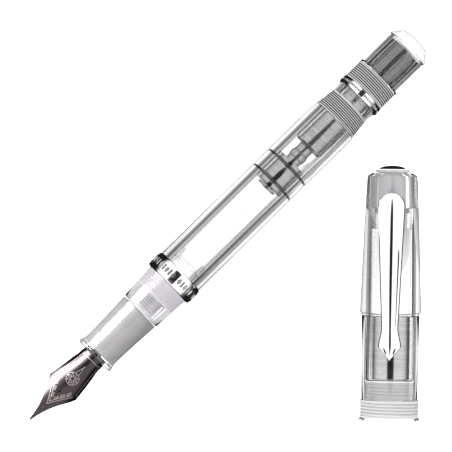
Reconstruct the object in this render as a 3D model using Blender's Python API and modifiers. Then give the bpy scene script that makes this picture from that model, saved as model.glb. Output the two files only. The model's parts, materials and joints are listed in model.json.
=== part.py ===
"""Clear-resin piston-filling fountain pen, lying uncapped with its cap beside it.

The pen is modelled along its own axis from the nib tip (0) to the tail, and the cap along its own
axis from its top (0) to its mouth.  Two empties lay both down on the ground plane.  In each of
those frames local Z runs along the axis and local Y points up, to the sky.

Sizes build outwards: the nib sets the core's bore, the core sets the barrel's bore and the grip,
and the grip and collar set the inside of the cap.
"""

import math

import bmesh
import bpy
from mathutils import Matrix, Vector

MM = 0.001

# Fits
SEAT_GAP = 0.12 * MM        # between pieces that are pressed, glued or screwed together
RUN_GAP = 0.08 * MM         # between pieces that turn or slide on each other
SEGMENTS = 28               # facets round a turned piece
SHARP_ANGLE = math.radians(35)

# Nib and feed
NIB_REACH = 22.2 * MM       # from the tip to the lip of the grip
NIB_TAIL = 10.0 * MM        # hidden in the grip
NIB_THICKNESS = 0.35 * MM
NIB_BASE_RADIUS = 3.3 * MM  # outside of the arch where it enters the grip
NIB_BASE_ANGLE = math.radians(76)
NIB_TIP_WIDTH = 0.5 * MM
NIB_SHOULDER_WIDTH = 9.2 * MM
NIB_SHOULDER_AT = 11.6 * MM
NIB_SHOULDER_ARCH = 5.6 * MM
NIB_TIP_DROP = 3.2 * MM     # how far the tip lies below the crown at the grip
NIB_DROP_SHARE = 0.8        # of the reach in front of the grip that the drop takes
NIB_DROP_CURVE = 1.6
NIB_TINE_SLOPE = 0.28       # share of the tines' widening that is straight
NIB_SHOULDER_ROUNDING = 0.06  # share of the widening that rounds the shoulder
NIB_REAR_CURVE = 0.9
NIB_EDGE_LIMIT = 0.999      # of the arch's radius, so that no edge stands upright
NIB_HOLE_RADIUS = 0.3 * MM
NIB_HOLE_AT = 10.2 * MM
FEED_START = 5.0 * MM
FEED_TIP_RADIUS = 0.45 * MM
FEED_LENGTH = 32.5 * MM
FEED_CURVE = 0.8
FEED_SEGMENTS = 20

# Grip, its core and the collar that the cap screws on; walls are outside the core
CORE_WALL = 0.55 * MM
CORE_SETBACK = 1.4 * MM     # core front face behind the grip's lip
TENON_REACH = 5.0 * MM      # of the core inside the barrel
TENON_STEP = 0.09 * MM
TENON_SEAL_WIDTH = 0.8 * MM
GRIP_LENGTH = 15.8 * MM
GRIP_LIP_LENGTH = 1.3 * MM
GRIP_LIP_WALL = 1.36 * MM
GRIP_WAIST_WALL = 0.83 * MM
GRIP_WAIST_AT = 2.6 * MM
GRIP_REAR_WALL = 1.36 * MM
GRIP_CURVE = 1.3
GASKET_THICKNESS = 0.3 * MM
COLLAR_LENGTH = 9.4 * MM
COLLAR_FRONT_WALL = 1.46 * MM
COLLAR_REAR_WALL = 2.06 * MM
COLLAR_THREAD_COUNT = 7
COLLAR_THREAD_PITCH = 0.7 * MM
COLLAR_THREAD_DEPTH = 0.16 * MM
COLLAR_RUN_OUT = 0.5 * MM
BAND_WIDTH = 4.1 * MM
BAND_PROUD = 0.47 * MM      # above the barrel
BAND_RIM = 0.6 * MM
BAND_RIM_DROP = 0.2 * MM

# Barrel
BARREL_LENGTH = 53.9 * MM
BARREL_WALL = 2.4 * MM
BARREL_BEVEL = 0.25 * MM

# Piston
PISTON_REST_GAP = 5.2 * MM  # from the piston back to the housing, as it lies
PISTON_NOSE_RADIUS = 2.6 * MM
PISTON_NOSE_LENGTH = 0.8 * MM
PISTON_LENGTH = 8.2 * MM
PISTON_CLEARANCE = 0.10 * MM
SEAL_WIDTH = 0.8 * MM
SEAL_DEPTH = 0.45 * MM
SEAL_FROM_END = 1.5 * MM
ROD_RADIUS = 2.0 * MM
ROD_ROOT = 2.0 * MM         # of the rod inside the piston
ROD_BULGE = 0.25 * MM
ROD_BULGE_AT = 2.2 * MM     # behind the piston
ROD_BULGE_LENGTH = 2.0 * MM
ROD_BACK_ROOM = 4.3 * MM    # from the rod's end to the end of the knob's bore

# Filling mechanism
HOUSING_IN_BARREL = 9.9 * MM
HOUSING_CHAMFER = 0.7 * MM
HOUSING_FRONT_WALL = 2.0 * MM
HOUSING_SLACK = 0.13 * MM   # in the barrel's bore
SPINDLE_WALL = 0.85 * MM
BUSH_LENGTH = 4.0 * MM
BUSH_WALL = 0.6 * MM
BOSS_WALL = 0.67 * MM       # of the housing round the bush
BOSS_SETBACK = 0.54 * MM    # boss end inside the tail cap's skirt
KNOB_PROUD = 0.10 * MM      # of the boss
KNOB_LENGTH = 9.4 * MM
KNOB_BEVEL = 0.3 * MM
KNOB_END_WALL = 0.8 * MM
KNOB_ROOM = 0.24 * MM       # round the knob in the tail cap
KNOB_END_ROOM = 0.18 * MM

# Collar behind the barrel, tail band and tail cap
HOUSING_COLLAR_LENGTH = 7.9 * MM
HOUSING_COLLAR_DROP = 0.23 * MM  # below the barrel, at the front
HOUSING_COLLAR_WALL = 1.2 * MM   # at the rear
HOUSING_THREAD_COUNT = 9
HOUSING_THREAD_PITCH = 0.55 * MM
HOUSING_THREAD_DEPTH = 0.18 * MM
TAIL_BAND_WIDTH = 2.0 * MM
TAIL_BAND_PROUD = 0.15 * MM      # above the skirt
TAIL_SKIRT_LENGTH = 5.6 * MM
TAIL_SKIRT_PROUD = 0.6 * MM      # above the tube
TAIL_THREAD_COUNT = 7
TAIL_THREAD_PITCH = 0.65 * MM
TAIL_THREAD_DEPTH = 0.16 * MM
TAIL_TUBE_WALL = 0.81 * MM
TAIL_FINIAL_HEIGHT = 3.2 * MM
TAIL_FINIAL_STEP = 0.55 * MM     # dome radius below the tube's
TAIL_FINIAL_PLUG = 0.8 * MM
TAIL_RIM_PROUD = 0.25 * MM
TAIL_RIM_LENGTH = 0.9 * MM

# Cap; walls are outside the bore that holds the liner, unless a line says otherwise
GRIP_ROOM = 0.2 * MM        # between the grip's lip and the liner
COLLAR_ROOM = 0.25 * MM     # between the collar and the cap's mouth
NIB_ROOM = 3.75 * MM        # from the nib tip to the inner cap's floor when the cap is on
NIB_SIDE_ROOM = 0.5 * MM    # between the nib's shoulders and the upper bore
LINER_WALL = 0.38 * MM
LINER_SETBACK = 4.9 * MM    # liner end inside the mouth piece
CAP_SHELL_START = 1.82 * MM
CAP_SHELL_LENGTH = 34.98 * MM
CAP_TOP_RADIUS = 5.0 * MM
CAP_SHOULDER_WALL = 0.1 * MM
CAP_SHOULDER_AT = 2.6 * MM
CAP_WAIST_WALL = 0.75 * MM
CAP_REAR_WALL = 1.5 * MM
CAP_RING_WIDTH = 0.5 * MM
CAP_RING_WALL = 1.15 * MM
SLEEVE_FRONT_WALL = 1.05 * MM
SLEEVE_REAR_WALL = 0.85 * MM
MOUTH_LENGTH = 5.2 * MM
MOUTH_WALL = 1.2 * MM
MOUTH_LIP_WALL = 1.4 * MM
MOUTH_LIP_LENGTH = 0.5 * MM
MOUTH_THREAD_COUNT = 5
MOUTH_THREAD_PITCH = 0.8 * MM
MOUTH_THREAD_DEPTH = 0.2 * MM
INNER_CAP_START = 10.7 * MM
INNER_CAP_LENGTH = 5.2 * MM
INNER_CAP_WALL = 0.9 * MM
INNER_CAP_FLOOR = 1.2 * MM
POST_RADIUS = 3.6 * MM
POST_HEAD_PROUD = 0.7 * MM
POST_HEAD_LENGTH = 0.7 * MM
GEM_RADIUS = 3.3 * MM
GEM_HEIGHT = 0.9 * MM

# Clip, measured along the cap and up from the cap's surface
CLIP_START = 6.8 * MM
CLIP_LENGTH = 41.5 * MM
CLIP_HEAD_WIDTH = 6.8 * MM
CLIP_NECK_WIDTH = 4.2 * MM
CLIP_ARROW_WIDTH = 5.7 * MM
CLIP_TIP_LENGTH = 3.7 * MM  # from the arrow's widest place to its point
CLIP_NECK_LENGTH = 4.8 * MM  # from the narrowest place to the widest
CLIP_THICKNESS = 0.8 * MM
CLIP_CROWN = 0.5 * MM       # how much the face is domed across its width
CLIP_HEAD_RISE = 0.6 * MM
CLIP_TIP_RISE = 0.95 * MM
CLIP_ARCH = 1.3 * MM        # of the blade above a straight line from head to tip
CLIP_ARCH_CURVE = 0.8
CLIP_POINT_WIDTH = 0.24 * MM
CLIP_DOME_AT = 0.6          # share of the half width where the face's inner facets end
CLIP_DOME_DROP = 0.3        # share of the crown that is lost there
CLIP_FOOT_RADIUS = 0.7 * MM
CLIP_FOOT_AT = 3.1 * MM     # before the point
TONGUE_WIDTH = 3.2 * MM
TONGUE_LENGTH = 1.6 * MM
TONGUE_AT = 8.6 * MM
TONGUE_ROOT = 0.8 * MM      # shell wall left between the post's bore and the clip's slot
TONGUE_SLOT_HEIGHT = 6.0 * MM
TONGUE_BEVEL = 0.15 * MM

# Where both lie on the ground plane, seen from above
PEN_ANGLE = math.radians(45.10)
PEN_TIP_X = -48.86 * MM
PEN_TIP_Y = -49.03 * MM
CAP_TOP_X = 40.94 * MM
CAP_TOP_Y = 15.17 * MM
CAP_ROLL = math.radians(9)  # of the lying cap, which takes its clip that far from straight up

# Radii, from the nib outwards
CORE_BORE = NIB_BASE_RADIUS + SEAT_GAP
CORE_RADIUS = CORE_BORE + CORE_WALL
FEED_RADIUS = NIB_BASE_RADIUS - NIB_THICKNESS - SEAT_GAP
GRIP_BORE = CORE_RADIUS + SEAT_GAP
GRIP_LIP_RADIUS = GRIP_BORE + GRIP_LIP_WALL
GRIP_WAIST_RADIUS = GRIP_BORE + GRIP_WAIST_WALL
GRIP_REAR_RADIUS = GRIP_BORE + GRIP_REAR_WALL
COLLAR_FRONT_RADIUS = GRIP_BORE + COLLAR_FRONT_WALL
COLLAR_REAR_RADIUS = GRIP_BORE + COLLAR_REAR_WALL
TENON_RADIUS = CORE_RADIUS + TENON_STEP
BARREL_BORE = TENON_RADIUS + SEAT_GAP
BARREL_RADIUS = BARREL_BORE + BARREL_WALL
BAND_RADIUS = BARREL_RADIUS + BAND_PROUD
PISTON_RADIUS = BARREL_BORE - PISTON_CLEARANCE
SEAL_RADIUS = BARREL_BORE - RUN_GAP / 2
SEAL_FLOOR = SEAL_RADIUS - SEAL_DEPTH
HOUSING_RADIUS = BARREL_BORE - HOUSING_SLACK
SPINDLE_BORE = ROD_RADIUS + RUN_GAP
SPINDLE_RADIUS = SPINDLE_BORE + SPINDLE_WALL
HOUSING_BORE = SPINDLE_RADIUS + RUN_GAP
BUSH_RADIUS = HOUSING_BORE + BUSH_WALL
BOSS_RADIUS = BUSH_RADIUS + SEAT_GAP + BOSS_WALL
BOSS_SLEEVE_BORE = BOSS_RADIUS + SEAT_GAP
KNOB_RADIUS = BOSS_RADIUS + KNOB_PROUD
TAIL_CAP_BORE = KNOB_RADIUS + KNOB_ROOM
TAIL_TUBE_RADIUS = TAIL_CAP_BORE + TAIL_TUBE_WALL
TAIL_SKIRT_RADIUS = TAIL_TUBE_RADIUS + TAIL_SKIRT_PROUD
TAIL_BAND_RADIUS = TAIL_SKIRT_RADIUS + TAIL_BAND_PROUD
LINER_BORE = GRIP_LIP_RADIUS + GRIP_ROOM
LINER_RADIUS = LINER_BORE + LINER_WALL
CAP_BORE = LINER_RADIUS + SEAT_GAP
MOUTH_BORE = COLLAR_REAR_RADIUS + COLLAR_ROOM
CAP_REAR_RADIUS = CAP_BORE + CAP_REAR_WALL
UPPER_BORE = NIB_SHOULDER_WIDTH / 2 + NIB_SIDE_ROOM
INNER_CAP_RADIUS = UPPER_BORE - SEAT_GAP
POST_BORE = POST_RADIUS + SEAT_GAP

# Stations along the pen
GRIP_START = NIB_REACH
GRIP_END = GRIP_START + GRIP_LENGTH
COLLAR_START = GRIP_END + GASKET_THICKNESS + 2 * SEAT_GAP
COLLAR_END = COLLAR_START + COLLAR_LENGTH
BAND_START = COLLAR_END + SEAT_GAP
BAND_END = BAND_START + BAND_WIDTH
BARREL_START = BAND_END + SEAT_GAP
BARREL_END = BARREL_START + BARREL_LENGTH
CORE_START = GRIP_START + CORE_SETBACK
CORE_END = BARREL_START + TENON_REACH
HOUSING_START = BARREL_END - HOUSING_IN_BARREL
HOUSING_COLLAR_START = BARREL_END + SEAT_GAP
HOUSING_COLLAR_END = HOUSING_COLLAR_START + HOUSING_COLLAR_LENGTH
TAIL_BAND_START = HOUSING_COLLAR_END + SEAT_GAP
TAIL_BAND_END = TAIL_BAND_START + TAIL_BAND_WIDTH
TAIL_CAP_START = TAIL_BAND_END + SEAT_GAP
BOSS_START = BARREL_END + SEAT_GAP
BOSS_END = TAIL_CAP_START + TAIL_SKIRT_LENGTH - BOSS_SETBACK
KNOB_START = BOSS_END + RUN_GAP
KNOB_END = KNOB_START + KNOB_LENGTH
TAIL_TUBE_END = KNOB_END + KNOB_END_ROOM + TAIL_FINIAL_PLUG - SEAT_GAP
PISTON_END = HOUSING_START - PISTON_REST_GAP
PISTON_BODY_START = PISTON_END - PISTON_LENGTH
PISTON_START = PISTON_BODY_START - PISTON_NOSE_LENGTH
ROD_START = PISTON_END - ROD_ROOT
ROD_END = KNOB_END - KNOB_END_WALL - ROD_BACK_ROOM

# Stations along the cap
INNER_CAP_END = INNER_CAP_START + INNER_CAP_LENGTH
CAP_LENGTH = INNER_CAP_START + INNER_CAP_FLOOR + NIB_ROOM + BAND_START
CAP_SHELL_END = CAP_SHELL_START + CAP_SHELL_LENGTH
SLEEVE_START = CAP_SHELL_END + CAP_RING_WIDTH + 2 * SEAT_GAP
MOUTH_START = CAP_LENGTH - MOUTH_LENGTH
LINER_END = MOUTH_START - LINER_SETBACK
CLIP_END = CLIP_START + CLIP_LENGTH
CLIP_ARROW_AT = CLIP_END - CLIP_TIP_LENGTH
CLIP_NECK_AT = CLIP_ARROW_AT - CLIP_NECK_LENGTH

# The pen leans on the rear edge of its band and on the rear end of its barrel
BAND_REST_AT = BAND_END - BAND_RIM
BARREL_REST_AT = BARREL_END - BARREL_BEVEL
PEN_TILT = math.atan2(BAND_RADIUS - BARREL_RADIUS, BARREL_REST_AT - BAND_REST_AT)
PEN_TIP_Z = BAND_RADIUS * math.cos(PEN_TILT) + BAND_REST_AT * math.sin(PEN_TILT)


def clear_scene():
    for obj in list(bpy.data.objects):
        bpy.data.objects.remove(obj, do_unlink=True)


def new_collection(name):
    collection = bpy.data.collections.new(name)
    bpy.context.scene.collection.children.link(collection)
    return collection


clear_scene()
PARTS = new_collection("fountain_pen")
CUTTERS = new_collection("fountain_pen_cutters")


def material(name, color, roughness, metallic=0.0, transmission=0.0):
    made = bpy.data.materials.new(name)
    made.use_nodes = True
    shader = made.node_tree.nodes["Principled BSDF"]
    shader.inputs["Base Color"].default_value = (*color, 1.0)
    shader.inputs["Roughness"].default_value = roughness
    shader.inputs["Metallic"].default_value = metallic
    shader.inputs["Transmission Weight"].default_value = transmission
    made.diffuse_color = (*color, 1.0)
    return made


def clear_resin(name, color=(0.95, 0.96, 0.97)):
    return material(name, color, roughness=0.03, transmission=1.0)


def metal(name, color, roughness):
    return material(name, color, roughness, metallic=1.0)


CHROME = (0.80, 0.81, 0.83)
STEEL = (0.50, 0.50, 0.51)
RUBBER = (0.03, 0.03, 0.03)


def axis_empty(name, origin, heading, dip=0.0, roll=0.0):
    """An empty at a tip: local Z runs along the axis and local Y points up, but for the roll.

    heading is the axis's angle on the ground plane, and dip is how far it slopes down from there.
    roll turns the piece about its own axis.
    """
    empty = bpy.data.objects.new(name, None)
    PARTS.objects.link(empty)
    level = Vector((math.cos(heading), math.sin(heading), 0))
    along = level * math.cos(dip) - Vector((0, 0, math.sin(dip)))
    side = Vector((0, 0, 1)).cross(level)
    up = along.cross(side)
    turn = Matrix((side, up, along)).transposed()
    rolled = turn @ Matrix.Rotation(roll, 3, "Z")
    empty.matrix_world = Matrix.Translation(origin) @ rolled.to_4x4()
    return empty


PEN = axis_empty("pen_axis", (PEN_TIP_X, PEN_TIP_Y, PEN_TIP_Z), PEN_ANGLE, PEN_TILT)
CAP = axis_empty("cap_axis", (CAP_TOP_X, CAP_TOP_Y, CAP_REAR_RADIUS), -math.pi / 2, roll=CAP_ROLL)


def place(name, mesh, parent, at, look):
    obj = bpy.data.objects.new(name, mesh)
    PARTS.objects.link(obj)
    obj.parent = parent
    obj.location = (0, 0, at)
    if look:
        mesh.materials.append(look)
    return obj


def settle(obj):
    """Turn the modifiers into mesh, so that its sharp edges can be marked."""
    bpy.context.view_layer.update()
    depsgraph = bpy.context.evaluated_depsgraph_get()
    mesh = bpy.data.meshes.new_from_object(obj.evaluated_get(depsgraph))
    obj.modifiers.clear()
    obj.data = mesh
    mesh.shade_smooth()
    mesh.set_sharp_from_angle(angle=SHARP_ANGLE)
    return obj


def turned(name, parent, at, outer, inner, look, segments=SEGMENTS):
    """Turn a piece about local Z.

    outer and inner are outlines of (radius, distance from at), each running away from the tip.
    A piece without a bore has no inner outline, and its outer one starts and ends on the axis.
    """
    outline = list(reversed(outer)) + list(inner or [])
    mesh = bpy.data.meshes.new(name)
    points = [(radius, 0, along) for radius, along in outline]
    edges = [(i, i + 1) for i in range(len(points) - 1)]
    if inner:
        edges.append((len(points) - 1, 0))
    mesh.from_pydata(points, edges, [])
    obj = place(name, mesh, parent, at, look)
    screw = obj.modifiers.new("Turn", "SCREW")
    screw.axis = "Z"
    screw.angle = math.tau
    screw.steps = segments
    screw.render_steps = segments
    screw.use_merge_vertices = True
    screw.merge_threshold = 1e-6
    return settle(obj)


def bushing(name, parent, start, end, radius, bore, look, bevel=0.0):
    """A plain sleeve between two stations, with bevelled outer edges."""
    length = end - start
    outer = [(radius - bevel, 0), (radius, bevel), (radius, length - bevel), (radius - bevel, length)]
    if not bevel:
        outer = [(radius, 0), (radius, length)]
    return turned(name, parent, start, outer, [(bore, 0), (bore, length)], look)


def ridges(start, count, pitch, radius, depth):
    """Outline points of thread ridges, each rising from its root to a crest and back."""
    points = []
    for i in range(count):
        root = start + i * pitch
        points.append((radius(root) - depth, root))
        points.append((radius(root + pitch / 2), root + pitch / 2))
    last = start + count * pitch
    points.append((radius(last) - depth, last))
    return points


def taper(start, start_radius, end, end_radius):
    """Radius along a straight taper."""
    return lambda along: start_radius + (end_radius - start_radius) * (along - start) / (end - start)


def arc(centre_radius, centre_along, radius, start_angle, end_angle, count):
    """Outline points on an arc; angle 0 points outwards and 90 degrees away from the tip."""
    points = []
    for i in range(count + 1):
        angle = math.radians(start_angle + (end_angle - start_angle) * i / count)
        points.append((centre_radius + radius * math.cos(angle), centre_along + radius * math.sin(angle)))
    return points


def loft(name, parent, sections, look):
    """Skin closed rings of equally many points, all running the same way, with flat ends."""
    work = bmesh.new()
    rings = [[work.verts.new(point) for point in section] for section in sections]
    for near, far in zip(rings, rings[1:]):
        for i in range(len(near)):
            j = (i + 1) % len(near)
            work.faces.new((near[i], near[j], far[j], far[i]))
    work.faces.new(reversed(rings[0]))
    work.faces.new(rings[-1])
    bmesh.ops.recalc_face_normals(work, faces=work.faces)
    mesh = bpy.data.meshes.new(name)
    work.to_mesh(mesh)
    work.free()
    obj = place(name, mesh, parent, 0, look)
    mesh.shade_smooth()
    mesh.set_sharp_from_angle(angle=SHARP_ANGLE)
    return obj


def cutter(name, parent, mesh, location, rotation=(0, 0, 0)):
    obj = bpy.data.objects.new(name, mesh)
    CUTTERS.objects.link(obj)
    obj.parent = parent
    obj.location = location
    obj.rotation_euler = rotation
    obj.hide_render = True
    obj.display_type = "WIRE"
    return obj


def rod_mesh(name, radius, length, segments):
    work = bmesh.new()
    bmesh.ops.create_cone(work, cap_ends=True, segments=segments, radius1=radius, radius2=radius,
                          depth=length)
    mesh = bpy.data.meshes.new(name)
    work.to_mesh(mesh)
    work.free()
    return mesh


def box_mesh(name, size):
    work = bmesh.new()
    bmesh.ops.create_cube(work, size=1.0)
    bmesh.ops.scale(work, vec=size, verts=work.verts)
    mesh = bpy.data.meshes.new(name)
    work.to_mesh(mesh)
    work.free()
    return mesh


def cut(obj, tool):
    boolean = obj.modifiers.new("Cut " + tool.name, "BOOLEAN")
    boolean.operation = "DIFFERENCE"
    boolean.solver = "EXACT"
    boolean.object = tool
    return settle(obj)


def ease(value):
    """Smooth step from 0 to 1."""
    held = min(1.0, max(0.0, value))
    return held * held * (3 - 2 * held)


# ---------------------------------------------------------------- nib and feed

def nib_half_width(along):
    """Concave sides from the tip to the shoulder, then a straight taper to the arch at the grip."""
    tip = NIB_TIP_WIDTH / 2
    shoulder = NIB_SHOULDER_WIDTH / 2
    base = NIB_BASE_RADIUS * math.sin(NIB_BASE_ANGLE)
    if along <= NIB_SHOULDER_AT:
        share = along / NIB_SHOULDER_AT
        flare = NIB_TINE_SLOPE * share + (1 - NIB_TINE_SLOPE) * share ** 2
        round_over = NIB_SHOULDER_ROUNDING * math.sin(math.pi * share ** 4)
        return tip + (shoulder - tip) * min(1.0, flare + round_over)
    if along <= NIB_REACH:
        share = (along - NIB_SHOULDER_AT) / (NIB_REACH - NIB_SHOULDER_AT)
        return shoulder + (base - shoulder) * share ** NIB_REAR_CURVE
    return base


def nib_arch_radius(along):
    if along <= NIB_SHOULDER_AT:
        return NIB_SHOULDER_ARCH
    share = (along - NIB_SHOULDER_AT) / (NIB_REACH - CORE_SETBACK - NIB_SHOULDER_AT)
    return NIB_SHOULDER_ARCH + (NIB_BASE_RADIUS - NIB_SHOULDER_ARCH) * ease(share)


def nib_crown(along):
    """Height of the nib's ridge above the pen's axis: level at the grip, dropping to the tip."""
    share = 1 - min(1.0, along / (NIB_REACH * NIB_DROP_SHARE))
    return NIB_BASE_RADIUS - NIB_TIP_DROP * share ** NIB_DROP_CURVE


def nib_stations():
    """Close together in the concave tines, wider apart behind the shoulder."""
    fore = [NIB_SHOULDER_AT * i / 9 for i in range(10)]
    rear_end = NIB_REACH + NIB_TAIL
    aft = [NIB_SHOULDER_AT + (rear_end - NIB_SHOULDER_AT) * i / 10 for i in range(1, 11)]
    return fore + aft


def nib():
    """An arched sheet: rows of points across the nib, thickened inwards."""
    across = 10
    work = bmesh.new()
    rows = []
    for along in nib_stations():
        arch = nib_arch_radius(along)
        reach = math.asin(min(NIB_EDGE_LIMIT, nib_half_width(along) / arch))
        row = []
        for i in range(across + 1):
            angle = reach * (2 * i / across - 1)
            height = nib_crown(along) - arch * (1 - math.cos(angle))
            row.append(work.verts.new((arch * math.sin(angle), height, along)))
        rows.append(row)
    for near, far in zip(rows, rows[1:]):
        for i in range(across):
            work.faces.new((near[i], far[i], far[i + 1], near[i + 1]))
    mesh = bpy.data.meshes.new("nib")
    work.to_mesh(mesh)
    work.free()
    obj = place("nib", mesh, PEN, 0, metal("nib_gunmetal", (0.20, 0.18, 0.19), 0.22))
    shell = obj.modifiers.new("Sheet", "SOLIDIFY")
    shell.thickness = NIB_THICKNESS
    shell.offset = -1
    settle(obj)
    hole = cutter("nib_hole", PEN, rod_mesh("nib_hole", NIB_HOLE_RADIUS, 4 * MM, 12),
                  (0, nib_crown(NIB_HOLE_AT), NIB_HOLE_AT), (math.radians(90), 0, 0))
    return cut(obj, hole)


def feed():
    """A round rod that tapers under the nib, its top close below the nib's inside."""
    sections = []
    count = 14
    for i in range(count + 1):
        along = FEED_START + (GRIP_START - FEED_START) * i / count
        radius = FEED_TIP_RADIUS + (FEED_RADIUS - FEED_TIP_RADIUS) * ease(i / count) ** FEED_CURVE
        sections.append(feed_section(along, radius))
    sections.append(feed_section(FEED_START + FEED_LENGTH, FEED_RADIUS))
    return loft("feed", PEN, sections, material("feed_plastic", (0.10, 0.10, 0.11), 0.45))


def feed_section(along, radius):
    gap = SEAT_GAP if along >= GRIP_START else 2 * SEAT_GAP
    top = nib_crown(along) - NIB_THICKNESS - gap
    ring = []
    for i in range(FEED_SEGMENTS):
        angle = math.tau * i / FEED_SEGMENTS
        ring.append((radius * math.cos(angle), top - radius + radius * math.sin(angle), along))
    return ring


# ---------------------------------------------------------------- section

def grip_section():
    lip = arc(GRIP_LIP_RADIUS - GRIP_LIP_LENGTH / 2, GRIP_LIP_LENGTH / 2, GRIP_LIP_LENGTH / 2, -90, 50, 6)
    outer = lip
    count = 5
    for i in range(count + 1):
        share = i / count
        radius = GRIP_WAIST_RADIUS + (GRIP_REAR_RADIUS - GRIP_WAIST_RADIUS) * share ** GRIP_CURVE
        outer.append((radius, GRIP_WAIST_AT + (GRIP_LENGTH - GRIP_WAIST_AT) * share))
    # The lip turns in over the front of the core, just clear of the nib and feed.
    inner = [(CORE_BORE, 0), (CORE_BORE, CORE_SETBACK - SEAT_GAP)]
    inner += [(GRIP_BORE, CORE_SETBACK - SEAT_GAP), (GRIP_BORE, GRIP_LENGTH)]
    look = material("grip_resin", (0.52, 0.53, 0.54), 0.25, transmission=0.6)
    return turned("grip_section", PEN, GRIP_START, outer, inner, look)


def section_core():
    """The sleeve that holds nib and feed; its wider rear end is the tenon inside the barrel."""
    length = CORE_END - CORE_START
    groove = length - TENON_REACH / 2
    step = BARREL_START - CORE_START
    half = TENON_SEAL_WIDTH / 2 + SEAT_GAP
    floor = CORE_RADIUS - CORE_WALL / 2
    outer = [(CORE_RADIUS, 0), (CORE_RADIUS, step), (TENON_RADIUS, step)]
    outer += [(TENON_RADIUS, groove - half), (floor, groove - half)]
    outer += [(floor, groove + half), (TENON_RADIUS, groove + half), (TENON_RADIUS, length)]
    inner = [(CORE_BORE, 0), (CORE_BORE, length)]
    return turned("section_core", PEN, CORE_START, outer, inner, clear_resin("core_resin"))


def tenon_seal():
    middle = CORE_END - TENON_REACH / 2
    floor = CORE_RADIUS - CORE_WALL / 2 + SEAT_GAP / 2
    return bushing("tenon_seal", PEN, middle - TENON_SEAL_WIDTH / 2, middle + TENON_SEAL_WIDTH / 2,
                   BARREL_BORE - SEAT_GAP / 2, floor, material("tenon_seal", (0.85, 0.85, 0.86), 0.5))


def section_gasket():
    start = GRIP_END + SEAT_GAP
    return bushing("section_gasket", PEN, start, start + GASKET_THICKNESS, GRIP_REAR_RADIUS, GRIP_BORE,
                   material("gasket_white", (0.90, 0.90, 0.91), 0.5))


def thread_collar():
    radius = taper(0, COLLAR_FRONT_RADIUS, COLLAR_LENGTH, COLLAR_REAR_RADIUS)
    start = COLLAR_LENGTH - COLLAR_RUN_OUT - COLLAR_THREAD_COUNT * COLLAR_THREAD_PITCH
    outer = [(radius(0), 0), (radius(start - COLLAR_RUN_OUT), start - COLLAR_RUN_OUT)]
    outer += ridges(start, COLLAR_THREAD_COUNT, COLLAR_THREAD_PITCH, radius, COLLAR_THREAD_DEPTH)
    outer += [(radius(COLLAR_LENGTH), COLLAR_LENGTH)]
    inner = [(GRIP_BORE, 0), (GRIP_BORE, COLLAR_LENGTH)]
    return turned("thread_collar", PEN, COLLAR_START, outer, inner,
                  clear_resin("collar_resin", (0.88, 0.84, 0.90)))


def rimmed_band(name, start, width, radius, bore):
    """A metal band with a raised middle between two rims."""
    rim = min(BAND_RIM, width / 4)
    low = radius - BAND_RIM_DROP
    outer = [(low, 0), (low, rim), (radius, rim), (radius, width - rim), (low, width - rim), (low, width)]
    return turned(name, PEN, start, outer, [(bore, 0), (bore, width)], metal(name, CHROME, 0.12))


# ---------------------------------------------------------------- barrel and piston

def barrel():
    return bushing("barrel", PEN, BARREL_START, BARREL_END, BARREL_RADIUS, BARREL_BORE,
                   clear_resin("barrel_resin"), BARREL_BEVEL)


def groove(middle):
    """Outline points of the groove that one piston ring sits in."""
    half = SEAL_WIDTH / 2 + RUN_GAP
    floor = SEAL_FLOOR - RUN_GAP
    return [(PISTON_RADIUS, middle - half), (floor, middle - half),
            (floor, middle + half), (PISTON_RADIUS, middle + half)]


def piston_head():
    body = PISTON_NOSE_LENGTH
    end = body + PISTON_LENGTH
    outer = [(0, 0), (PISTON_NOSE_RADIUS, 0), (PISTON_NOSE_RADIUS, body), (PISTON_RADIUS, body)]
    outer += groove(body + SEAL_FROM_END)
    outer += groove(end - SEAL_FROM_END)
    outer += [(PISTON_RADIUS, end)]
    # A blind bore in the back takes the rod.
    bore = ROD_RADIUS + SEAT_GAP
    depth = ROD_ROOT + SEAT_GAP
    outer += [(bore, end), (bore, end - depth), (0, end - depth)]
    return turned("piston_head", PEN, PISTON_START, outer, None, metal("piston_steel", STEEL, 0.30))


def piston_seal(name, middle):
    """A rubber ring with a rounded outer edge."""
    half = SEAL_WIDTH / 2
    rounding = SEAL_WIDTH / 4
    outer = [(SEAL_RADIUS - rounding, -half), (SEAL_RADIUS, -half + rounding)]
    outer += [(SEAL_RADIUS, half - rounding), (SEAL_RADIUS - rounding, half)]
    inner = [(SEAL_FLOOR, -half), (SEAL_FLOOR, half)]
    return turned(name, PEN, middle, outer, inner, material(name, RUBBER, 0.5))


def piston_rod():
    """The rod, with a bulged collar behind the piston."""
    length = ROD_END - ROD_START
    bulge_start = ROD_ROOT + ROD_BULGE_AT - ROD_BULGE_LENGTH / 2
    outer = [(0, 0), (ROD_RADIUS, 0), (ROD_RADIUS, bulge_start)]
    outer += [(ROD_RADIUS + ROD_BULGE, bulge_start + ROD_BULGE)]
    outer += [(ROD_RADIUS + ROD_BULGE, bulge_start + ROD_BULGE_LENGTH - ROD_BULGE)]
    outer += [(ROD_RADIUS, bulge_start + ROD_BULGE_LENGTH), (ROD_RADIUS, length), (0, length)]
    return turned("piston_rod", PEN, ROD_START, outer, None, metal("rod_steel", STEEL, 0.25))


# ---------------------------------------------------------------- filling mechanism

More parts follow.
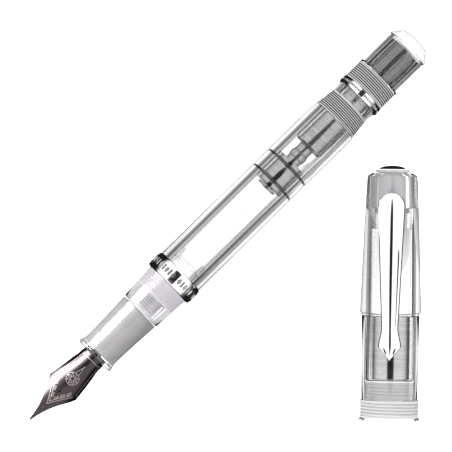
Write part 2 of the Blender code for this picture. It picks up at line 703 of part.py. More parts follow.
def mechanism_housing():
    """The metal tube that the spindle turns in, with a wider boss behind the barrel."""
    length = BOSS_END - HOUSING_START
    step = BOSS_START - HOUSING_START
    bush_seat = length - BUSH_LENGTH - SEAT_GAP
    outer = [(HOUSING_RADIUS - HOUSING_CHAMFER, 0), (HOUSING_RADIUS, HOUSING_CHAMFER)]
    outer += [(HOUSING_RADIUS, step), (BOSS_RADIUS, step), (BOSS_RADIUS, length)]
    rod_hole = ROD_RADIUS + ROD_BULGE + RUN_GAP
    bush_bore = BUSH_RADIUS + SEAT_GAP
    inner = [(rod_hole, 0), (rod_hole, HOUSING_FRONT_WALL), (HOUSING_BORE, HOUSING_FRONT_WALL)]
    inner += [(HOUSING_BORE, bush_seat), (bush_bore, bush_seat), (bush_bore, length)]
    return turned("mechanism_housing", PEN, HOUSING_START, outer, inner,
                  metal("housing_steel", STEEL, 0.30))


def spindle():
    start = HOUSING_START + HOUSING_FRONT_WALL + RUN_GAP
    return bushing("spindle", PEN, start, KNOB_START, SPINDLE_RADIUS, SPINDLE_BORE,
                   metal("spindle_brass", (0.72, 0.58, 0.30), 0.35))


def spindle_bush():
    return bushing("spindle_bush", PEN, BOSS_END - BUSH_LENGTH, BOSS_END, BUSH_RADIUS, HOUSING_BORE,
                   material("bush_plastic", (0.80, 0.80, 0.80), 0.4))


def piston_knob():
    """The knob closes the spindle's end; the rod's end moves inside it."""
    rod_room = ROD_RADIUS + 2 * RUN_GAP
    bore_end = KNOB_LENGTH - KNOB_END_WALL
    # The outline runs from the bore's blind end out to the rim and on to the closed end.
    path = [(0, bore_end), (rod_room, bore_end), (rod_room, SEAT_GAP)]
    path += [(KNOB_RADIUS - KNOB_BEVEL, SEAT_GAP), (KNOB_RADIUS, SEAT_GAP + KNOB_BEVEL)]
    path += [(KNOB_RADIUS, KNOB_LENGTH - KNOB_BEVEL), (KNOB_RADIUS - KNOB_BEVEL, KNOB_LENGTH)]
    path += [(0, KNOB_LENGTH)]
    return turned("piston_knob", PEN, KNOB_START, path, None, metal("knob_steel", (0.22, 0.22, 0.23), 0.35))


# ---------------------------------------------------------------- tail

def housing_collar():
    front = BARREL_RADIUS - HOUSING_COLLAR_DROP
    rear = BOSS_SLEEVE_BORE + HOUSING_COLLAR_WALL
    start = HOUSING_THREAD_PITCH / 2
    neck = start + (HOUSING_THREAD_COUNT + 0.5) * HOUSING_THREAD_PITCH
    radius = taper(0, front, neck, rear)
    outer = [(radius(0), 0)]
    outer += ridges(start, HOUSING_THREAD_COUNT, HOUSING_THREAD_PITCH, radius, HOUSING_THREAD_DEPTH)
    outer += [(rear, neck), (rear, HOUSING_COLLAR_LENGTH)]
    inner = [(BOSS_SLEEVE_BORE, 0), (BOSS_SLEEVE_BORE, HOUSING_COLLAR_LENGTH)]
    return turned("housing_collar", PEN, HOUSING_COLLAR_START, outer, inner,
                  clear_resin("housing_collar_resin"))


def tail_cap():
    """The blind cap over the knob: a ribbed skirt, then a plain tube that is open at the end."""
    radius = taper(0, TAIL_SKIRT_RADIUS, TAIL_SKIRT_LENGTH, TAIL_SKIRT_RADIUS)
    length = TAIL_TUBE_END - TAIL_CAP_START
    start = TAIL_THREAD_PITCH / 2
    outer = [(TAIL_SKIRT_RADIUS, 0)]
    outer += ridges(start, TAIL_THREAD_COUNT, TAIL_THREAD_PITCH, radius, TAIL_THREAD_DEPTH)
    outer += [(TAIL_SKIRT_RADIUS, start + (TAIL_THREAD_COUNT + 0.5) * TAIL_THREAD_PITCH)]
    outer += [(TAIL_SKIRT_RADIUS, TAIL_SKIRT_LENGTH), (TAIL_TUBE_RADIUS, TAIL_SKIRT_LENGTH)]
    outer += [(TAIL_TUBE_RADIUS, length)]
    inner = [(TAIL_CAP_BORE, 0), (TAIL_CAP_BORE, length)]
    return turned("tail_cap", PEN, TAIL_CAP_START, outer, inner, clear_resin("tail_cap_resin"))


def tail_finial():
    """A domed end with a rim; its plug reaches into the tail cap's tube."""
    plug = TAIL_CAP_BORE - SEAT_GAP
    rim = TAIL_TUBE_RADIUS + TAIL_RIM_PROUD
    dome_radius = TAIL_TUBE_RADIUS - TAIL_FINIAL_STEP
    start = SEAT_GAP
    outer = [(0, start - TAIL_FINIAL_PLUG), (plug, start - TAIL_FINIAL_PLUG), (plug, start)]
    outer += [(rim, start), (rim, start + TAIL_RIM_LENGTH)]
    dome_height = TAIL_FINIAL_HEIGHT - TAIL_RIM_LENGTH
    count = 6
    for i in range(count + 1):
        angle = math.radians(90 * i / count)
        radius = dome_radius * math.cos(angle) ** 0.5 if i < count else 0
        outer.append((radius, start + TAIL_RIM_LENGTH + dome_height * math.sin(angle)))
    return turned("tail_finial", PEN, TAIL_TUBE_END, outer, None, clear_resin("tail_finial_resin"))


# ---------------------------------------------------------------- cap

def cap_shell():
    """The tapered upper cap: a bore for the post, then a wider one for the inner cap and the nib."""
    length = CAP_SHELL_END - CAP_SHELL_START
    shoulder = CAP_SHOULDER_AT - CAP_SHELL_START
    waist = INNER_CAP_END - CAP_SHELL_START
    outer = [(CAP_TOP_RADIUS, 0), (CAP_BORE + CAP_SHOULDER_WALL, shoulder)]
    outer += [(CAP_BORE + CAP_WAIST_WALL, waist), (CAP_REAR_RADIUS, length)]
    post_end = INNER_CAP_START - CAP_SHELL_START - SEAT_GAP
    inner = [(POST_BORE, 0), (POST_BORE, post_end), (UPPER_BORE, post_end), (UPPER_BORE, length)]
    shell = turned("cap_shell", CAP, CAP_SHELL_START, outer, inner, clear_resin("cap_shell_resin"))
    slot_size = (TONGUE_WIDTH + 2 * SEAT_GAP, TONGUE_SLOT_HEIGHT, TONGUE_LENGTH + 2 * SEAT_GAP)
    slot_middle = POST_BORE + TONGUE_ROOT + slot_size[1] / 2
    slot = cutter("tongue_slot", CAP, box_mesh("tongue_slot", slot_size), (0, slot_middle, TONGUE_AT))
    return cut(shell, slot)


def clip_tongue():
    """The lug in the shell's slot that the clip hinges on."""
    bottom = POST_BORE + TONGUE_ROOT + SEAT_GAP
    top = clip_underside(TONGUE_AT) - 2 * RUN_GAP
    mesh = box_mesh("clip_tongue", (TONGUE_WIDTH, top - bottom, TONGUE_LENGTH))
    obj = place("clip_tongue", mesh, CAP, TONGUE_AT, metal("tongue_chrome", CHROME, 0.15))
    obj.location.y = (top + bottom) / 2
    bevel = obj.modifiers.new("Edges", "BEVEL")
    bevel.width = TONGUE_BEVEL
    bevel.segments = 1
    return settle(obj)


def cap_ring():
    start = CAP_SHELL_END + SEAT_GAP
    return bushing("cap_ring", CAP, start, start + CAP_RING_WIDTH, CAP_BORE + CAP_RING_WALL, UPPER_BORE,
                   clear_resin("cap_ring_resin"))


def cap_sleeve():
    length = MOUTH_START - SEAT_GAP - SLEEVE_START
    outer = [(CAP_BORE + SLEEVE_FRONT_WALL, 0), (CAP_BORE + SLEEVE_REAR_WALL, length)]
    inner = [(CAP_BORE, 0), (CAP_BORE, length)]
    return turned("cap_sleeve", CAP, SLEEVE_START, outer, inner, clear_resin("cap_sleeve_resin"))


def cap_mouth():
    """The threaded mouth, with a thin flared lip."""
    crest = CAP_BORE + MOUTH_WALL
    lip = CAP_BORE + MOUTH_LIP_WALL
    radius = taper(0, crest, MOUTH_LENGTH, crest)
    start = MOUTH_THREAD_PITCH / 2
    outer = [(crest - MOUTH_THREAD_DEPTH, 0)]
    outer += ridges(start, MOUTH_THREAD_COUNT, MOUTH_THREAD_PITCH, radius, MOUTH_THREAD_DEPTH)
    outer += [(lip, MOUTH_LENGTH - MOUTH_LIP_LENGTH), (lip, MOUTH_LENGTH)]
    inner = [(CAP_BORE, 0), (MOUTH_BORE, MOUTH_LIP_LENGTH), (MOUTH_BORE, MOUTH_LENGTH)]
    return turned("cap_mouth", CAP, MOUTH_START, outer, inner, clear_resin("cap_mouth_resin"))


def cap_liner():
    """The metal tube that the grip goes into."""
    return bushing("cap_liner", CAP, SLEEVE_START, LINER_END, LINER_RADIUS, LINER_BORE,
                   metal("liner_steel", STEEL, 0.30))


def inner_cap():
    """A cup that seals round the nib, closed towards the post."""
    length = INNER_CAP_LENGTH - SEAT_GAP
    bore = INNER_CAP_RADIUS - INNER_CAP_WALL
    path = [(0, 0), (INNER_CAP_RADIUS, 0), (INNER_CAP_RADIUS, length), (bore, length)]
    path += [(bore, INNER_CAP_FLOOR), (0, INNER_CAP_FLOOR)]
    return turned("inner_cap", CAP, INNER_CAP_START, path, None, clear_resin("inner_cap_resin"))


def finial_post():
    """The headed post down the middle of the shell's top."""
    start = CAP_SHELL_START - SEAT_GAP - POST_HEAD_LENGTH
    end = INNER_CAP_START - 2 * SEAT_GAP
    length = end - start
    head = POST_RADIUS + POST_HEAD_PROUD
    outer = [(0, 0), (head, 0), (head, POST_HEAD_LENGTH)]
    outer += [(POST_RADIUS, POST_HEAD_LENGTH), (POST_RADIUS, length), (0, length)]
    return turned("finial_post", CAP, start, outer, None, clear_resin("post_resin"))


def finial_gem():
    """The dark domed end, seated on the post's head."""
    end = CAP_SHELL_START - 2 * SEAT_GAP - POST_HEAD_LENGTH
    count = 6
    outer = []
    for i in range(count + 1):
        angle = math.radians(90 * i / count)
        radius = GEM_RADIUS * math.sin(angle) if i else 0
        outer.append((radius, -GEM_HEIGHT * math.cos(angle)))
    outer.append((0, 0))
    return turned("finial_gem", CAP, end, outer, None, material("gem_black", RUBBER, 0.15))


# ---------------------------------------------------------------- clip

def clip_half_width(along):
    """Round head, long taper, then an arrowhead with a pointed tip."""
    head = CLIP_HEAD_WIDTH / 2
    neck = CLIP_NECK_WIDTH / 2
    arrow = CLIP_ARROW_WIDTH / 2
    from_top = along - CLIP_START
    if from_top < head:
        return math.sqrt(max(0.0, head ** 2 - (head - from_top) ** 2))
    if along < CLIP_NECK_AT:
        share = (along - CLIP_START - head) / (CLIP_NECK_AT - CLIP_START - head)
        return head + (neck - head) * share
    if along < CLIP_ARROW_AT:
        share = (along - CLIP_NECK_AT) / (CLIP_ARROW_AT - CLIP_NECK_AT)
        return neck + (arrow - neck) * ease(share)
    return arrow * (CLIP_END - along) / (CLIP_END - CLIP_ARROW_AT)


def clip_underside(along):
    """Height of the clip's underside above the cap's axis: a shallow arch from head to tip."""
    share = (along - CLIP_START) / (CLIP_END - CLIP_START)
    head = CAP_BORE + CAP_WAIST_WALL + CLIP_HEAD_RISE
    tip = CAP_REAR_RADIUS + CLIP_TIP_RISE
    return head + (tip - head) * share + CLIP_ARCH * max(0.0, math.sin(math.pi * share)) ** CLIP_ARCH_CURVE


def clip_section(along):
    """One cross-section: flat below, gently domed above."""
    half = max(clip_half_width(along), CLIP_POINT_WIDTH / 2)
    low = clip_underside(along)
    top = low + CLIP_THICKNESS
    side = top - min(CLIP_CROWN, half / 2)
    facet = top - CLIP_DOME_DROP * (top - side)
    inner = CLIP_DOME_AT * half
    return [(half, low, along), (half, side, along), (inner, facet, along), (0, top, along),
            (-inner, facet, along), (-half, side, along), (-half, low, along)]


def clip():
    head = CLIP_HEAD_WIDTH / 2
    stations = [CLIP_START + head * (1 - math.cos(math.radians(15 * i))) for i in range(7)]
    count = 9
    stations += [CLIP_START + head + (CLIP_NECK_AT - CLIP_START - head) * i / count
                 for i in range(1, count + 1)]
    stations += [CLIP_NECK_AT + (CLIP_ARROW_AT - CLIP_NECK_AT) * i / 4 for i in range(1, 5)]
    stations += [CLIP_END]
    sections = [clip_section(along) for along in stations]
    return loft("clip", CAP, sections, metal("clip_chrome", CHROME, 0.08))


def clip_foot():
    """The ball under the clip's tip that presses on the cap."""
    at = CLIP_END - CLIP_FOOT_AT
    top = clip_underside(at) - SEAT_GAP
    work = bmesh.new()
    bmesh.ops.create_uvsphere(work, u_segments=16, v_segments=10, radius=CLIP_FOOT_RADIUS)
    mesh = bpy.data.meshes.new("clip_foot")
    work.to_mesh(mesh)
    work.free()
    mesh.shade_smooth()
    obj = place("clip_foot", mesh, CAP, at, metal("foot_chrome", CHROME, 0.12))
    obj.location.y = top - CLIP_FOOT_RADIUS
    return obj


def build():
    nib()
    feed()
    grip_section()
    section_core()
    tenon_seal()
    section_gasket()
    thread_collar()
    rimmed_band("barrel_band", BAND_START, BAND_WIDTH, BAND_RADIUS, GRIP_BORE)
    barrel()
    piston_head()
    first_seal = PISTON_BODY_START + SEAL_FROM_END
    last_seal = PISTON_END - SEAL_FROM_END
    piston_seal("piston_seal_front", first_seal)
    piston_seal("piston_seal_rear", last_seal)
    piston_rod()
    mechanism_housing()
    spindle()
    spindle_bush()
    piston_knob()
    housing_collar()
    rimmed_band("tail_band", TAIL_BAND_START, TAIL_BAND_WIDTH, TAIL_BAND_RADIUS, BOSS_SLEEVE_BORE)
    tail_cap()
    tail_finial()
    cap_shell()
    clip_tongue()
    cap_ring()
    cap_sleeve()
    cap_mouth()
    cap_liner()
    inner_cap()
    finial_post()
    finial_gem()
    clip()
    clip_foot()


build()
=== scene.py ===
"""The looks of the clear piston-filling pen and its cap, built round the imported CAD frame."""

import json
import math

import bmesh
import bpy
from mathutils import Matrix, Vector

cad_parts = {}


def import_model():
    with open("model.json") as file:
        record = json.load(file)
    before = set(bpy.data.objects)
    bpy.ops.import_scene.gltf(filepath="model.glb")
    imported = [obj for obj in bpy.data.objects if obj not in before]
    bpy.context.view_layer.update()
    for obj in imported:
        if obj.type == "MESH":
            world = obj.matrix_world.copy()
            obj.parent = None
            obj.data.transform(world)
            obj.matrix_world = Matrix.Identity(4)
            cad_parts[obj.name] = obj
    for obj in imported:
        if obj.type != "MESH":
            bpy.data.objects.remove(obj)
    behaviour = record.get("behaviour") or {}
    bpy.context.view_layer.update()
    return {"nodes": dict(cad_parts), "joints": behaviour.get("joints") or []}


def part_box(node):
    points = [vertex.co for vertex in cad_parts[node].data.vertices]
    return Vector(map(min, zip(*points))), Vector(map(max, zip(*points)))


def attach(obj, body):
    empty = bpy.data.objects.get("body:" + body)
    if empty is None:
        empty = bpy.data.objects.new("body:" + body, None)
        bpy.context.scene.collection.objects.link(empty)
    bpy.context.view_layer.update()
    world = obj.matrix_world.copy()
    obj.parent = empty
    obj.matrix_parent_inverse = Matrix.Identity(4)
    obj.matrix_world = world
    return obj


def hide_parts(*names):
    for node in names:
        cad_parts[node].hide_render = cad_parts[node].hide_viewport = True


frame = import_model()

MM = 0.001
SEGMENTS = 128              # facets round a turned piece
SHARP_ANGLE = math.radians(32)
EDGE = 0.08 * MM            # rounding on the corners of turned pieces
BURIED = 0.02 * MM          # how far a ring is pressed into the wall that it seals
FULL_CUT = 0.2 * MM         # a cut this deep gets the darkest painted shade
ACRYLIC_IOR = 1.49
SKIN = 0.34 * MM            # thickness of the threaded layer on a clear piece, with its gap


# ---------------------------------------------------------------- the two axes

def axis_matrix(tip, along):
    """Local Z runs along the axis and local Y points up."""
    side = Vector((0, 0, 1)).cross(along).normalized()
    up = along.cross(side)
    return Matrix.Translation(tip) @ Matrix((side, up, along)).transposed().to_4x4()


class Line:
    """A row of turned pieces on one axis, and what the CAD nodes on it measure."""

    def __init__(self, point, along, first_node):
        self.matrix = axis_matrix(Vector(point), Vector(along).normalized())
        start = self.span(first_node)[0]
        self.matrix = self.matrix @ Matrix.Translation((0, 0, start))

    def span(self, node):
        """(start, end, outer radius, bore radius) of a node, in metres from the tip."""
        inverse = self.matrix.inverted()
        points = [inverse @ vertex.co for vertex in frame["nodes"][node].data.vertices]
        radii = [math.hypot(point.x, point.y) for point in points]
        places = [point.z for point in points]
        return min(places), max(places), max(radii), min(radii)


JOINTS = {joint["name"]: joint for joint in frame["joints"]}
PEN = Line(JOINTS["knob_turn"]["pos_m"], JOINTS["knob_turn"]["axis"], "nib")
gem_low, gem_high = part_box("finial_gem")
CAP = Line((gem_low + gem_high) / 2, JOINTS["cap_slide"]["axis"], "finial_gem")
# The cap lies rolled about its axis: its local X is turned to lie along the clip's hinge.
hinge = CAP.matrix.to_3x3().inverted() @ Vector(JOINTS["clip_flex"]["axis"])
CAP.matrix = CAP.matrix @ Matrix.Rotation(math.atan2(-hinge.y, -hinge.x), 4, "Z")


# ---------------------------------------------------------------- materials

def blank_material(name, **values):
    """A Principled material; values are fixed inputs, named with _ for a space."""
    made = bpy.data.materials.new(name)
    made.use_nodes = True
    nodes = made.node_tree.nodes
    shader = nodes["Principled BSDF"]
    for key, value in values.items():
        shader.inputs[key.replace("_", " ")].default_value = value
    return made, nodes, made.node_tree.links, shader


def noise(nodes, links, scale, stretch=(1, 1, 1), detail=3.0):
    """Noise in the piece's own coordinates, stretched along its axes."""
    coordinates = nodes.new("ShaderNodeTexCoord")
    mapping = nodes.new("ShaderNodeMapping")
    mapping.inputs["Scale"].default_value = stretch
    links.new(coordinates.outputs["Object"], mapping.inputs["Vector"])
    texture = nodes.new("ShaderNodeTexNoise")
    texture.inputs["Scale"].default_value = scale
    texture.inputs["Detail"].default_value = detail
    links.new(mapping.outputs["Vector"], texture.inputs["Vector"])
    return texture


def graded(nodes, links, source, stops, target):
    """Colour the target by the source; stops are (value, colour) and rise."""
    ramp = nodes.new("ShaderNodeValToRGB")
    elements = ramp.color_ramp.elements
    elements[0].position, elements[1].position = stops[0][0], stops[-1][0]
    elements[0].color = (*stops[0][1], 1)
    elements[1].color = (*stops[-1][1], 1)
    for position, colour in stops[1:-1]:
        elements.new(position).color = (*colour, 1)
    links.new(source, ramp.inputs["Fac"])
    links.new(ramp.outputs["Color"], target)


def greys(stops):
    return [(position, (value,) * 3) for position, value in stops]


def tinted(nodes, links, shader, texture, low, high):
    graded(nodes, links, texture.outputs["Fac"], ((0.35, low), (0.65, high)), shader.inputs["Base Color"])


def painted_shade_by_cut(nodes, links, shader, stops):
    """Painted shade: colour by how deeply a place is cut, from 0 to 1, darker in the cuts."""
    depth = nodes.new("ShaderNodeAttribute")
    depth.attribute_name = "cut"
    graded(nodes, links, depth.outputs["Fac"], stops, shader.inputs["Base Color"])


def bumped(nodes, links, shader, texture, strength, distance):
    bump = nodes.new("ShaderNodeBump")
    bump.inputs["Strength"].default_value = strength
    bump.inputs["Distance"].default_value = distance
    links.new(texture.outputs["Fac"], bump.inputs["Height"])
    links.new(bump.outputs["Normal"], shader.inputs["Normal"])


def roughened(nodes, links, shader, texture, low, high):
    ranged = nodes.new("ShaderNodeMapRange")
    ranged.inputs["To Min"].default_value = low
    ranged.inputs["To Max"].default_value = high
    links.new(texture.outputs["Fac"], ranged.inputs["Value"])
    links.new(ranged.outputs["Result"], shader.inputs["Roughness"])


def resin(name, low=(0.970, 0.975, 0.980), high=(0.990, 0.992, 0.995), roughness=0.0):
    """Polished clear acrylic with the slightest moulding waves."""
    made, nodes, links, shader = blank_material(name, Transmission_Weight=1.0, IOR=ACRYLIC_IOR,
                                                Roughness=roughness)
    waves = noise(nodes, links, 180.0, detail=1.0)
    tinted(nodes, links, shader, waves, low, high)
    bumped(nodes, links, shader, waves, 0.05, 0.00003)
    return made


def grained(name, low, high, roughness, metallic=0.0, scale=1.0, stretch=(1, 1, 1), detail=3.0, bump=None,
            **values):
    """A material whose colour, roughness and bump all follow one noise; bump is (strength, distance)."""
    made, nodes, links, shader = blank_material(name, Metallic=metallic, **values)
    grain = noise(nodes, links, scale, stretch, detail)
    tinted(nodes, links, shader, grain, low, high)
    roughened(nodes, links, shader, grain, *roughness)
    if bump:
        bumped(nodes, links, shader, grain, *bump)
    return made


def turned_metal(name, low, high, roughness):
    """Metal off a lathe, with fine rings round the axis."""
    return grained(name, low, high, roughness, 1.0, stretch=(60.0, 60.0, 3500.0), detail=2.0,
                   bump=(0.04, 0.00001), Specular_Tint=(0.12, 0.12, 0.12, 1))


def plastic(name, low, high, roughness, scale=900.0):
    """Moulded plastic or rubber with a fine grain."""
    return grained(name, low, high, roughness, scale=scale, bump=(0.15, 0.00002))


def ornamented(name, crest, floor):
    """Plating with painted shade in its pressed places, which are coloured darker."""
    made, nodes, links, shader = blank_material(name, Metallic=1.0, Roughness=0.06)
    painted_shade_by_cut(nodes, links, shader, ((0.15, crest), (0.85, floor)))
    return made


def frosted(name, crest, floor):
    """Resin cut so finely that it looks white, with painted shade in the cuts."""
    made, nodes, links, shader = blank_material(name, Transmission_Weight=0.25, IOR=ACRYLIC_IOR,
                                                Roughness=0.12)
    painted_shade_by_cut(nodes, links, shader, ((0.25, crest), (0.60, floor)))
    return made


CLEAR = resin("clear_resin")
LAVENDER = resin("lavender_resin", (0.95, 0.93, 0.96), (0.975, 0.96, 0.98))
SILICONE = resin("seal_silicone", (0.93, 0.93, 0.94), (0.97, 0.97, 0.975), 0.08)
CHROME = grained("chrome", (0.86, 0.87, 0.88), (0.93, 0.93, 0.94), (0.02, 0.09), 1.0, 700.0)
STEEL = turned_metal("turned_steel", (0.30, 0.30, 0.305), (0.40, 0.40, 0.405), (0.10, 0.18))
LINER_STEEL = turned_metal("liner_steel", (0.42, 0.42, 0.425), (0.54, 0.54, 0.545), (0.10, 0.16))
DARK_STEEL = turned_metal("dark_steel", (0.12, 0.12, 0.125), (0.17, 0.17, 0.175), (0.12, 0.20))
BRASS = turned_metal("turned_brass", (0.62, 0.48, 0.24), (0.75, 0.60, 0.32), (0.18, 0.30))
# Dark plating with a warm cast, brushed along its length, and the duller metal of its engraved lines.
NIB_METAL = grained("nib_gunmetal", (0.060, 0.050, 0.052), (0.078, 0.067, 0.069), (0.20, 0.27), 1.0,
                    stretch=(5000.0, 5000.0, 220.0), detail=4.0, bump=(0.10, 0.00001))
ENGRAVED = grained("nib_engraving", (0.36, 0.31, 0.315), (0.50, 0.44, 0.445), (0.35, 0.6), 0.6, 9000.0)
# Painted shade: the band's pressed ornament is coloured near black.
ORNAMENTED = ornamented("ornamented_chrome", (0.90, 0.90, 0.91), (0.10, 0.10, 0.105))
# In these threaded resins the second colour is painted shade, laid into the bottoms of the cuts.
FROSTED = frosted("frosted_threads", (0.80, 0.80, 0.81), (0.03, 0.03, 0.032))
COLLAR_FROSTED = frosted("frosted_collar", (0.86, 0.82, 0.875), (0.55, 0.50, 0.565))
INNER_FROSTED = frosted("frosted_inner_threads", (0.985, 0.985, 0.985), (0.62, 0.62, 0.63))
MOUTH_FROSTED = frosted("frosted_mouth", (0.95, 0.95, 0.95), (0.62, 0.62, 0.63))
MILKY = frosted("milky_resin", (0.93, 0.93, 0.94), (0.80, 0.80, 0.81))
RUBBER = plastic("seal_rubber", (0.030, 0.030, 0.030), (0.055, 0.055, 0.055), (0.25, 0.40))
GREY_CORE = plastic("grey_core", (0.455, 0.44, 0.445), (0.505, 0.49, 0.495), (0.30, 0.45), 250.0)
WHITE = plastic("white_washer", (0.82, 0.82, 0.83), (0.92, 0.92, 0.93), (0.30, 0.45))
FEED_BLACK = plastic("feed_plastic", (0.035, 0.035, 0.04), (0.06, 0.06, 0.065), (0.40, 0.55))
GEM = plastic("black_gem", (0.008, 0.008, 0.009), (0.02, 0.02, 0.022), (0.08, 0.16))


# ---------------------------------------------------------------- shapes

def mesh_from(work, name, outward=True):
    """Free the bmesh and give its mesh, with the faces of a closed skin turned outward."""
    if outward:
        bmesh.ops.recalc_face_normals(work, faces=work.faces)
    mesh = bpy.data.meshes.new(name)
    work.to_mesh(mesh)
    work.free()
    return mesh


def added(name, data):
    obj = bpy.data.objects.new(name, data)
    bpy.context.scene.collection.objects.link(obj)
    return obj


def lofted(work, rings):
    """A closed skin through rings of vertices, with both ends capped."""
    for near, far in zip(rings, rings[1:]):
        for i in range(len(near)):
            j = (i + 1) % len(near)
            work.faces.new((near[i], near[j], far[j], far[i]))
    work.faces.new(reversed(rings[0]))
    work.faces.new(rings[-1])


def eased(outline, closed, radius=EDGE):
    """Round each corner of an outline with a short curve."""
    rounded = []
    count = len(outline)
    for i, corner in enumerate(outline):
        if not closed and i in (0, count - 1):
            rounded.append(corner)
            continue
        before = Vector(outline[i - 1])
        here = Vector(corner)
        after = Vector(outline[(i + 1) % count])
        cut_in = min(radius, 0.4 * (here - before).length)
        cut_out = min(radius, 0.4 * (after - here).length)
        start = here + (before - here).normalized() * cut_in
        end = here + (after - here).normalized() * cut_out
        for step in range(4):
            t = step / 3
            point = start * (1 - t) ** 2 + here * 2 * t * (1 - t) + end * t ** 2
            rounded.append((point.x, point.y))
    return rounded


def revolved(name, line, outline, closed, look, shape=None, segments=SEGMENTS):
    """Revolve an outline of (radius, place) about the line's axis.

    It runs down the outside and up the inside.  shape(radius, place, angle) may change a radius.
    """
    work = bmesh.new()
    cut_layer = work.verts.layers.float.new("cut")
    rings = []
    for radius, place in outline:
        if radius < 1e-7:
            rings.append([work.verts.new((0, 0, place))])
            continue
        ring = []
        for i in range(segments):
            angle = math.tau * i / segments
            reach = shape(radius, place, angle) if shape else radius
            vertex = work.verts.new((reach * math.cos(angle), reach * math.sin(angle), place))
            # how deep the cut is here; the painted shade in the grooves follows it
            vertex[cut_layer] = min(1.0, (radius - reach) / FULL_CUT)
            ring.append(vertex)
        rings.append(ring)
    pairs = list(zip(rings, rings[1:]))
    if closed:
        pairs.append((rings[-1], rings[0]))
    for near, far in pairs:
        for i in range(segments):
            j = (i + 1) % segments
            corners = [near[i % len(near)], far[i % len(far)], far[j % len(far)], near[j % len(near)]]
            unique = list(dict.fromkeys(corners))
            if len(unique) > 2:
                work.faces.new(unique)
    return placed(name, mesh_from(work, name), line, look)


def placed(name, mesh, line, look):
    mesh.shade_smooth()
    mesh.set_sharp_from_angle(angle=SHARP_ANGLE)
    mesh.materials.append(look)
    obj = added(name, mesh)
    obj.matrix_world = line.matrix
    return obj


def sleeve(name, line, outer, inner, look, ease=EDGE):
    """A piece with a bore: outer and inner outlines both run away from the tip."""
    outline = list(reversed(outer)) + list(inner)
    return revolved(name, line, eased(outline, True, ease), True, look)


def solid(name, line, outer, look, ease=EDGE):
    """A piece without a bore: its outline starts and ends on the axis."""
    return revolved(name, line, eased(list(reversed(outer)), False, ease), False, look)


def stand_for(piece, body, slot_name, *nodes):
    """The piece rides on the body and is seen in place of the CAD nodes."""
    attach(piece, body)
    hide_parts(*nodes)
    return piece


def tube(name, line, node, look, body, slot_name, ease=EDGE):
    """A plain tube with the measures of the CAD node that it stands for."""
    start, end, outer, bore = line.span(node)
    piece = sleeve(name, line, [(outer, start), (outer, end)], [(bore, start), (bore, end)], look, ease)
    return stand_for(piece, body, slot_name, node)


def thread_rows(start, end, pitch, radius):
    """Outline points close enough together to carry a thread."""
    rows = max(2, int(round((end - start) / pitch * 8)))
    return [(radius(start + (end - start) * i / rows), start + (end - start) * i / rows)
            for i in range(rows + 1)]


def thread(start, end, pitch, depth, floor):
    """A right-hand thread cut into the outside between two places, fading at both ends."""
    def shape(radius, place, angle):
        if radius < floor or place <= start or place >= end:
            return radius
        fade = min(1.0, (place - start) / pitch, (end - place) / pitch)
        turn = (place / pitch + angle / math.tau) % 1.0
        groove = 0.5 - 0.5 * math.cos(math.tau * turn)
        return radius - depth * groove * fade
    return shape


def threaded_skin(name, line, body, start, end, pitch, depth, radius, look):
    """A thin threaded layer on a clear piece, under the given radius."""
    skin = depth + 0.12 * MM
    outer = thread_rows(start, end, pitch, radius)
    inner = [(radius(start) - skin, start), (radius(end) - skin, end)]
    shape = thread(start, end, pitch, depth, min(radius(start), radius(end)) - 0.05 * MM)
    piece = revolved(name, line, list(reversed(outer)) + inner, True, look, shape)
    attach(piece, body)


def straight(start, start_radius, end, end_radius):
    return lambda place: start_radius + (end_radius - start_radius) * (place - start) / (end - start)


# ---------------------------------------------------------------- nib

NIB_END = PEN.span("nib")[1]
GRIP_START, GRIP_END, GRIP_RADIUS, _ = PEN.span("grip_section")
NIB_REACH = GRIP_START
NIB_BASE_RADIUS = 3.3 * MM
NIB_THICKNESS = 0.35 * MM
NIB_SHOULDER_AT = 11.6 * MM
NIB_SHOULDER_ARCH = 5.6 * MM
NIB_TIP_DROP = 3.2 * MM
NIB_HOLE_AT = 10.2 * MM
NIB_HOLE_RADIUS = 0.3 * MM
NIB_TIP_HALF = 0.25 * MM
NIB_SHOULDER_HALF = 4.6 * MM
NIB_BASE_HALF = NIB_BASE_RADIUS * math.sin(math.radians(76))


def ease_step(value):
    held = min(1.0, max(0.0, value))
    return held * held * (3 - 2 * held)


def nib_half_width(along):
    if along <= NIB_SHOULDER_AT:
        share = along / NIB_SHOULDER_AT
        flare = 0.28 * share + 0.72 * share ** 2
        round_over = 0.06 * math.sin(math.pi * share ** 4)
        return NIB_TIP_HALF + (NIB_SHOULDER_HALF - NIB_TIP_HALF) * min(1.0, flare + round_over)
    if along <= NIB_REACH:
        share = (along - NIB_SHOULDER_AT) / (NIB_REACH - NIB_SHOULDER_AT)
        return NIB_SHOULDER_HALF + (NIB_BASE_HALF - NIB_SHOULDER_HALF) * share ** 0.9
    return NIB_BASE_HALF


def nib_arch_radius(along):
    if along <= NIB_SHOULDER_AT:
        return NIB_SHOULDER_ARCH
    share = (along - NIB_SHOULDER_AT) / (NIB_REACH - 1.4 * MM - NIB_SHOULDER_AT)
    return NIB_SHOULDER_ARCH + (NIB_BASE_RADIUS - NIB_SHOULDER_ARCH) * ease_step(share)


def nib_crown(along):
    share = 1 - min(1.0, along / (NIB_REACH * 0.8))
    return NIB_BASE_RADIUS - NIB_TIP_DROP * share ** 1.6


def on_nib(along, across, lift=0.0):
    """A point on the nib's upper face, across metres to the side of its ridge."""
    arch = nib_arch_radius(along)
    angle = math.asin(max(-0.999, min(0.999, across / arch)))
    height = nib_crown(along) - arch * (1 - math.cos(angle)) + lift
    return Vector((across, height, along))


